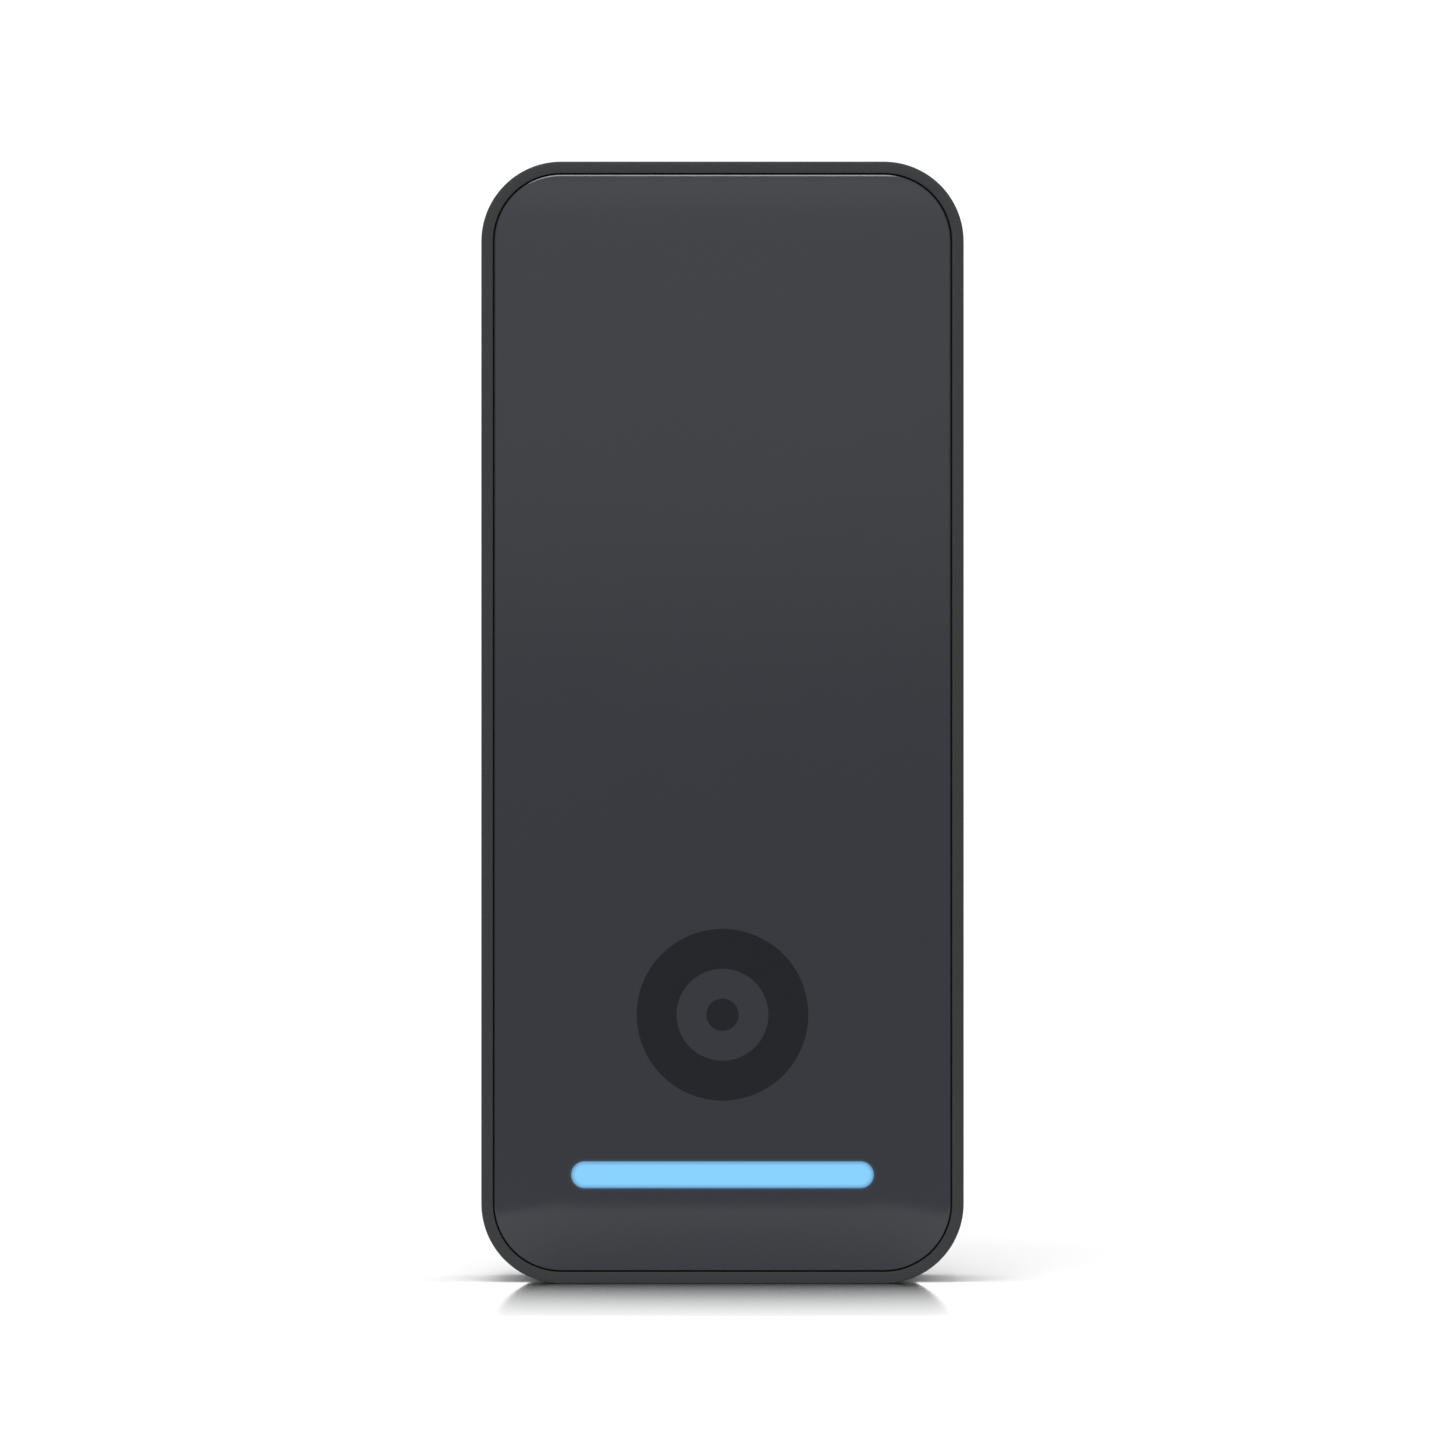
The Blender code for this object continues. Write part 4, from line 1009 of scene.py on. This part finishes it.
CARRIED = {
    "foam": ("panel_adhesive", "light_seal", "speaker_gasket"),
    "board": ("light_board", "antenna_board", "main_board"),
    "led": ("led_1", "led_2", "led_3", "led_4"),
    "copper": ("antenna_coil",),
    "ferrite": ("ferrite_sheet", "power_transformer"),
    "tin": ("shield_can",),
    "black": (
        "mid_frame", "processor", "main_connector", "light_connector", "speaker", "tamper_switch",
        "reset_switch",
    ),
    "amber": ("ribbon_cable",),
    "metal": ("capacitor_1", "capacitor_2"),
    "label": ("vent_membrane",),
    "brass": ("antenna_pin_left", "antenna_pin_right"),
    "steel": (
        "board_screw_1", "board_screw_2", "board_screw_3", "board_screw_4", "light_screw_left",
        "light_screw_right",
    ),
}


def dress_carried_nodes():
    """Gives the CAD nodes that stay their finishes."""
    for key, names in CARRIED.items():
        for name in names:
            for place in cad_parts[name].material_slots:
                place.material = finish(key)


# --- Studio -----------------------------------------------------------------------------------------


def softbox(name, place, target, width, height, watts):
    light = bpy.data.lights.new(name, "AREA")
    light.shape = "RECTANGLE"
    light.size, light.size_y = width, height
    light.energy = watts
    lamp = bpy.data.objects.new(name, light)
    lamp.location = place
    lamp.rotation_euler = (Vector(target) - Vector(place)).to_track_quat("-Z", "Y").to_euler()
    bpy.context.scene.collection.objects.link(lamp)


def eased(tree, value, limits):
    """A value eased from one range into another."""
    node = tree.nodes.new("ShaderNodeMapRange")
    node.interpolation_type = "SMOOTHSTEP"
    tree.links.new(value, node.inputs["Value"])
    for socket, limit in zip(RANGE_SOCKETS, limits):
        node.inputs[socket].default_value = limit
    return node.outputs["Result"]


def white_studio(strength):
    """White all round, dimmer low down in front of the reader, where the camera stands."""
    world = bpy.data.worlds.new("white_studio")
    bpy.context.scene.world = world
    world.use_nodes = True
    tree = world.node_tree
    tree.nodes.clear()
    add, link = tree.nodes.new, tree.links.new
    coordinates = add("ShaderNodeTexCoord")
    parts = add("ShaderNodeSeparateXYZ")
    link(coordinates.outputs["Generated"], parts.inputs[0])
    rise = eased(tree, parts.outputs["Z"], (0.20, 0.70, 0.62, 0.92))
    behind = eased(tree, parts.outputs["Y"], (-0.4, 0.4, 0.0, 1.25))
    level = add("ShaderNodeMath")
    level.operation = "MAXIMUM"
    link(rise, level.inputs[0])
    link(behind, level.inputs[1])
    seen = add("ShaderNodeLightPath")
    shown = add("ShaderNodeMix")
    link(seen.outputs["Is Camera Ray"], shown.inputs["Factor"])
    link(level.outputs[0], shown.inputs["A"])
    shown.inputs["B"].default_value = 1.12
    background = add("ShaderNodeBackground")
    background.inputs["Color"].default_value = (1.0, 1.0, 1.0, 1.0)
    total = add("ShaderNodeMath")
    total.operation = "MULTIPLY"
    total.inputs[1].default_value = strength
    link(shown.outputs["Result"], total.inputs[0])
    link(total.outputs[0], background.inputs["Strength"])
    output = add("ShaderNodeOutputWorld")
    link(background.outputs[0], output.inputs["Surface"])


def polished_floor():
    """A pale floor that mirrors the reader along its front at a glancing view, and is matte elsewhere."""
    made = Finish("pale_floor", Specular_IOR_Level=0.0)
    cloud = made.noise(6.0, 2.0)
    made.colour(made.blend(cloud, (0.87, 0.87, 0.87), (0.89, 0.89, 0.89)))
    x, y, _ = made.separate()
    far = made.math("SQRT", made.math("ADD", made.math("MULTIPLY", x, x), made.math("MULTIPLY", y, y)))
    made.shader.inputs["Emission Color"].default_value = (1.0, 1.0, 1.0, 1.0)
    lift = made.ranged(far, 0.30, 0.90, 0.0, 0.18, smooth=True)
    made.link(lift, made.shader.inputs["Emission Strength"])
    ahead = made.math("SUBTRACT", FACE_Y, y)
    nearness = made.ranged(ahead, 0.0, POLISH_REACH, 1.0, 0.0)
    front_only = made.ranged(ahead, -0.004, 0.0, 0.0, 1.0)
    side = WIDTH / 2
    beside = made.ranged(made.math("ABSOLUTE", x), side, side + POLISH_BESIDE, 1.0, 0.0, smooth=True)
    glance = made.add("ShaderNodeLayerWeight")
    glance.inputs["Blend"].default_value = 0.5
    glancing = made.ranged(glance.outputs["Facing"], 0.78, 0.88, 0.0, 1.0, smooth=True)
    polish = made.math("MULTIPLY", made.math("POWER", nearness, POLISH_FALL), front_only)
    for limit in (beside, glancing):
        polish = made.math("MULTIPLY", polish, limit)
    made.link(polish, made.shader.inputs["Metallic"])
    made.link(made.ranged(ahead, 0.0, POLISH_REACH, 0.05, 0.16), made.shader.inputs["Roughness"])
    bm = bmesh.new()
    bmesh.ops.create_circle(bm, cap_ends=True, radius=FLOOR_RADIUS, segments=256)
    bmesh.ops.translate(bm, vec=(0.0, FLOOR_RADIUS - FLOOR_AHEAD, LOW.z), verts=bm.verts)
    mesh = bpy.data.meshes.new("studio_floor")
    bm.to_mesh(mesh)
    bm.free()
    mesh.materials.append(made.material)
    floor = bpy.data.objects.new("studio_floor", mesh)
    bpy.context.scene.collection.objects.link(floor)


def straight_camera():
    """A level camera straight in front of the reader, at the height of its middle."""
    now = studio()
    camera = bpy.data.cameras.new("front_camera")
    camera.sensor_width = 36.0
    camera.lens = camera.sensor_width * now.view_distance / now.view_width
    camera.clip_start = 0.01
    camera.clip_end = 20.0
    eye = bpy.data.objects.new("front_camera", camera)
    eye.location = (0.0, FACE_Y - now.view_distance, MIDDLE_Z)
    eye.rotation_euler = (math.pi / 2, 0.0, 0.0)
    bpy.context.scene.collection.objects.link(eye)
    bpy.context.scene.camera = eye


def make_studio():
    """The camera, the floor, the white surround and three softboxes."""
    now = studio()
    straight_camera()
    polished_floor()
    white_studio(now.surround)
    softbox("key_softbox", (-0.07, -0.27, 0.58), (0.0, FACE_Y, 0.14), 0.34, 0.20, now.key_power)
    softbox("front_card", (0.0, -0.51, 0.285), (0.0, 0.0, 0.285), 1.0, 0.37, now.card_power)
    softbox("overhead_softbox", (-0.03, 0.02, 0.75), (-0.03, 0.02, 0.0), 0.35, 0.35, now.overhead_power)
    bpy.context.scene.view_settings.view_transform = "Standard"


# --- Operators --------------------------------------------------------------------------------------


class READER_OT_front_shell(bpy.types.Operator):
    """Make the matte front housing"""

    bl_idname = "reader.front_shell"
    bl_label = "Front Shell"

    def execute(self, context):
        make_front_shell()
        return {"FINISHED"}


class READER_OT_panel(bpy.types.Operator):
    """Make the smooth front panel"""

    bl_idname = "reader.panel"
    bl_label = "Front Panel"

    def execute(self, context):
        make_panel()
        return {"FINISHED"}


class READER_OT_light_window(bpy.types.Operator):
    """Make the light guide's lit window"""

    bl_idname = "reader.light_window"
    bl_label = "Light Bar"

    def execute(self, context):
        make_light_window()
        return {"FINISHED"}


class READER_OT_mark(bpy.types.Operator):
    """Print the tap mark on the panel"""

    bl_idname = "reader.mark"
    bl_label = "Tap Mark"

    def execute(self, context):
        make_mark()
        return {"FINISHED"}


class READER_OT_parting_seal(bpy.types.Operator):
    """Make the seal between the housings"""

    bl_idname = "reader.parting_seal"
    bl_label = "Parting Seal"

    def execute(self, context):
        make_parting_seal()
        return {"FINISHED"}


class READER_OT_rear_shell(bpy.types.Operator):
    """Make the rear housing"""

    bl_idname = "reader.rear_shell"
    bl_label = "Rear Shell"

    def execute(self, context):
        make_rear_shell()
        return {"FINISHED"}


class READER_OT_bracket(bpy.types.Operator):
    """Make the wall bracket and its nut"""

    bl_idname = "reader.bracket"
    bl_label = "Wall Bracket"

    def execute(self, context):
        make_bracket()
        return {"FINISHED"}


class READER_OT_wall_gasket(bpy.types.Operator):
    """Make the foam ring behind the bracket"""

    bl_idname = "reader.wall_gasket"
    bl_label = "Wall Gasket"

    def execute(self, context):
        make_wall_gasket()
        return {"FINISHED"}


class READER_OT_case_screws(bpy.types.Operator):
    """Make the four case screws"""

    bl_idname = "reader.case_screws"
    bl_label = "Case Screws"

    def execute(self, context):
        make_case_screws()
        return {"FINISHED"}


class READER_OT_lock_screw(bpy.types.Operator):
    """Make the security screw"""

    bl_idname = "reader.lock_screw"
    bl_label = "Lock Screw"

    def execute(self, context):
        make_lock_screw()
        return {"FINISHED"}


class READER_OT_plunger(bpy.types.Operator):
    """Make the tamper plunger and its spring"""

    bl_idname = "reader.plunger"
    bl_label = "Tamper Plunger"

    def execute(self, context):
        make_plunger()
        return {"FINISHED"}


class READER_OT_reset_button(bpy.types.Operator):
    """Make the reset button"""

    bl_idname = "reader.reset_button"
    bl_label = "Reset Button"

    def execute(self, context):
        make_reset_button()
        return {"FINISHED"}


class READER_OT_jack(bpy.types.Operator):
    """Make the jack and its contacts"""

    bl_idname = "reader.jack"
    bl_label = "Ethernet Jack"

    def execute(self, context):
        make_jack()
        return {"FINISHED"}


class READER_OT_label(bpy.types.Operator):
    """Make the blank rating label"""

    bl_idname = "reader.label"
    bl_label = "Rating Label"

    def execute(self, context):
        make_label()
        return {"FINISHED"}


class READER_OT_board_details(bpy.types.Operator):
    """Place the small chips on the main board"""

    bl_idname = "reader.board_details"
    bl_label = "Board Details"

    def execute(self, context):
        make_board_details()
        return {"FINISHED"}


class READER_OT_carried_finishes(bpy.types.Operator):
    """Give the inner pieces their finishes"""

    bl_idname = "reader.carried_finishes"
    bl_label = "Inner Finishes"

    def execute(self, context):
        dress_carried_nodes()
        return {"FINISHED"}


class READER_OT_studio(bpy.types.Operator):
    """Set the floor, lights and camera"""

    bl_idname = "reader.studio"
    bl_label = "Studio"

    def execute(self, context):
        make_studio()
        return {"FINISHED"}


OPERATORS = (
    READER_OT_front_shell,
    READER_OT_panel,
    READER_OT_light_window,
    READER_OT_mark,
    READER_OT_parting_seal,
    READER_OT_rear_shell,
    READER_OT_bracket,
    READER_OT_wall_gasket,
    READER_OT_case_screws,
    READER_OT_lock_screw,
    READER_OT_plunger,
    READER_OT_reset_button,
    READER_OT_jack,
    READER_OT_label,
    READER_OT_board_details,
    READER_OT_carried_finishes,
    READER_OT_studio,
)


class READER_PT_sidebar(bpy.types.Panel):
    """Lists the reader's sizes, colours and pieces."""

    bl_label = "Card Reader"
    bl_idname = "READER_PT_sidebar"
    bl_space_type = "VIEW_3D"
    bl_region_type = "UI"
    bl_category = "Card Reader"

    def draw(self, context):
        scene = context.scene
        for group in (scene.reader_sizes, scene.reader_colours, scene.reader_studio):
            box = self.layout.box()
            for key in group.__annotations__:
                box.prop(group, key)
        for made in OPERATORS:
            self.layout.operator(made.bl_idname)


CLASSES = (ReaderSizes, ReaderColours, ReaderStudio, *OPERATORS, READER_PT_sidebar)


def register():
    for made in CLASSES:
        bpy.utils.register_class(made)
    bpy.types.Scene.reader_sizes = PointerProperty(type=ReaderSizes)
    bpy.types.Scene.reader_colours = PointerProperty(type=ReaderColours)
    bpy.types.Scene.reader_studio = PointerProperty(type=ReaderStudio)


def unregister():
    del bpy.types.Scene.reader_studio
    del bpy.types.Scene.reader_colours
    del bpy.types.Scene.reader_sizes
    for made in reversed(CLASSES):
        bpy.utils.unregister_class(made)


def main():
    register()
    for made in OPERATORS:
        group, name = made.bl_idname.split(".")
        getattr(getattr(bpy.ops, group), name)()


if __name__ == "__main__":
    main()
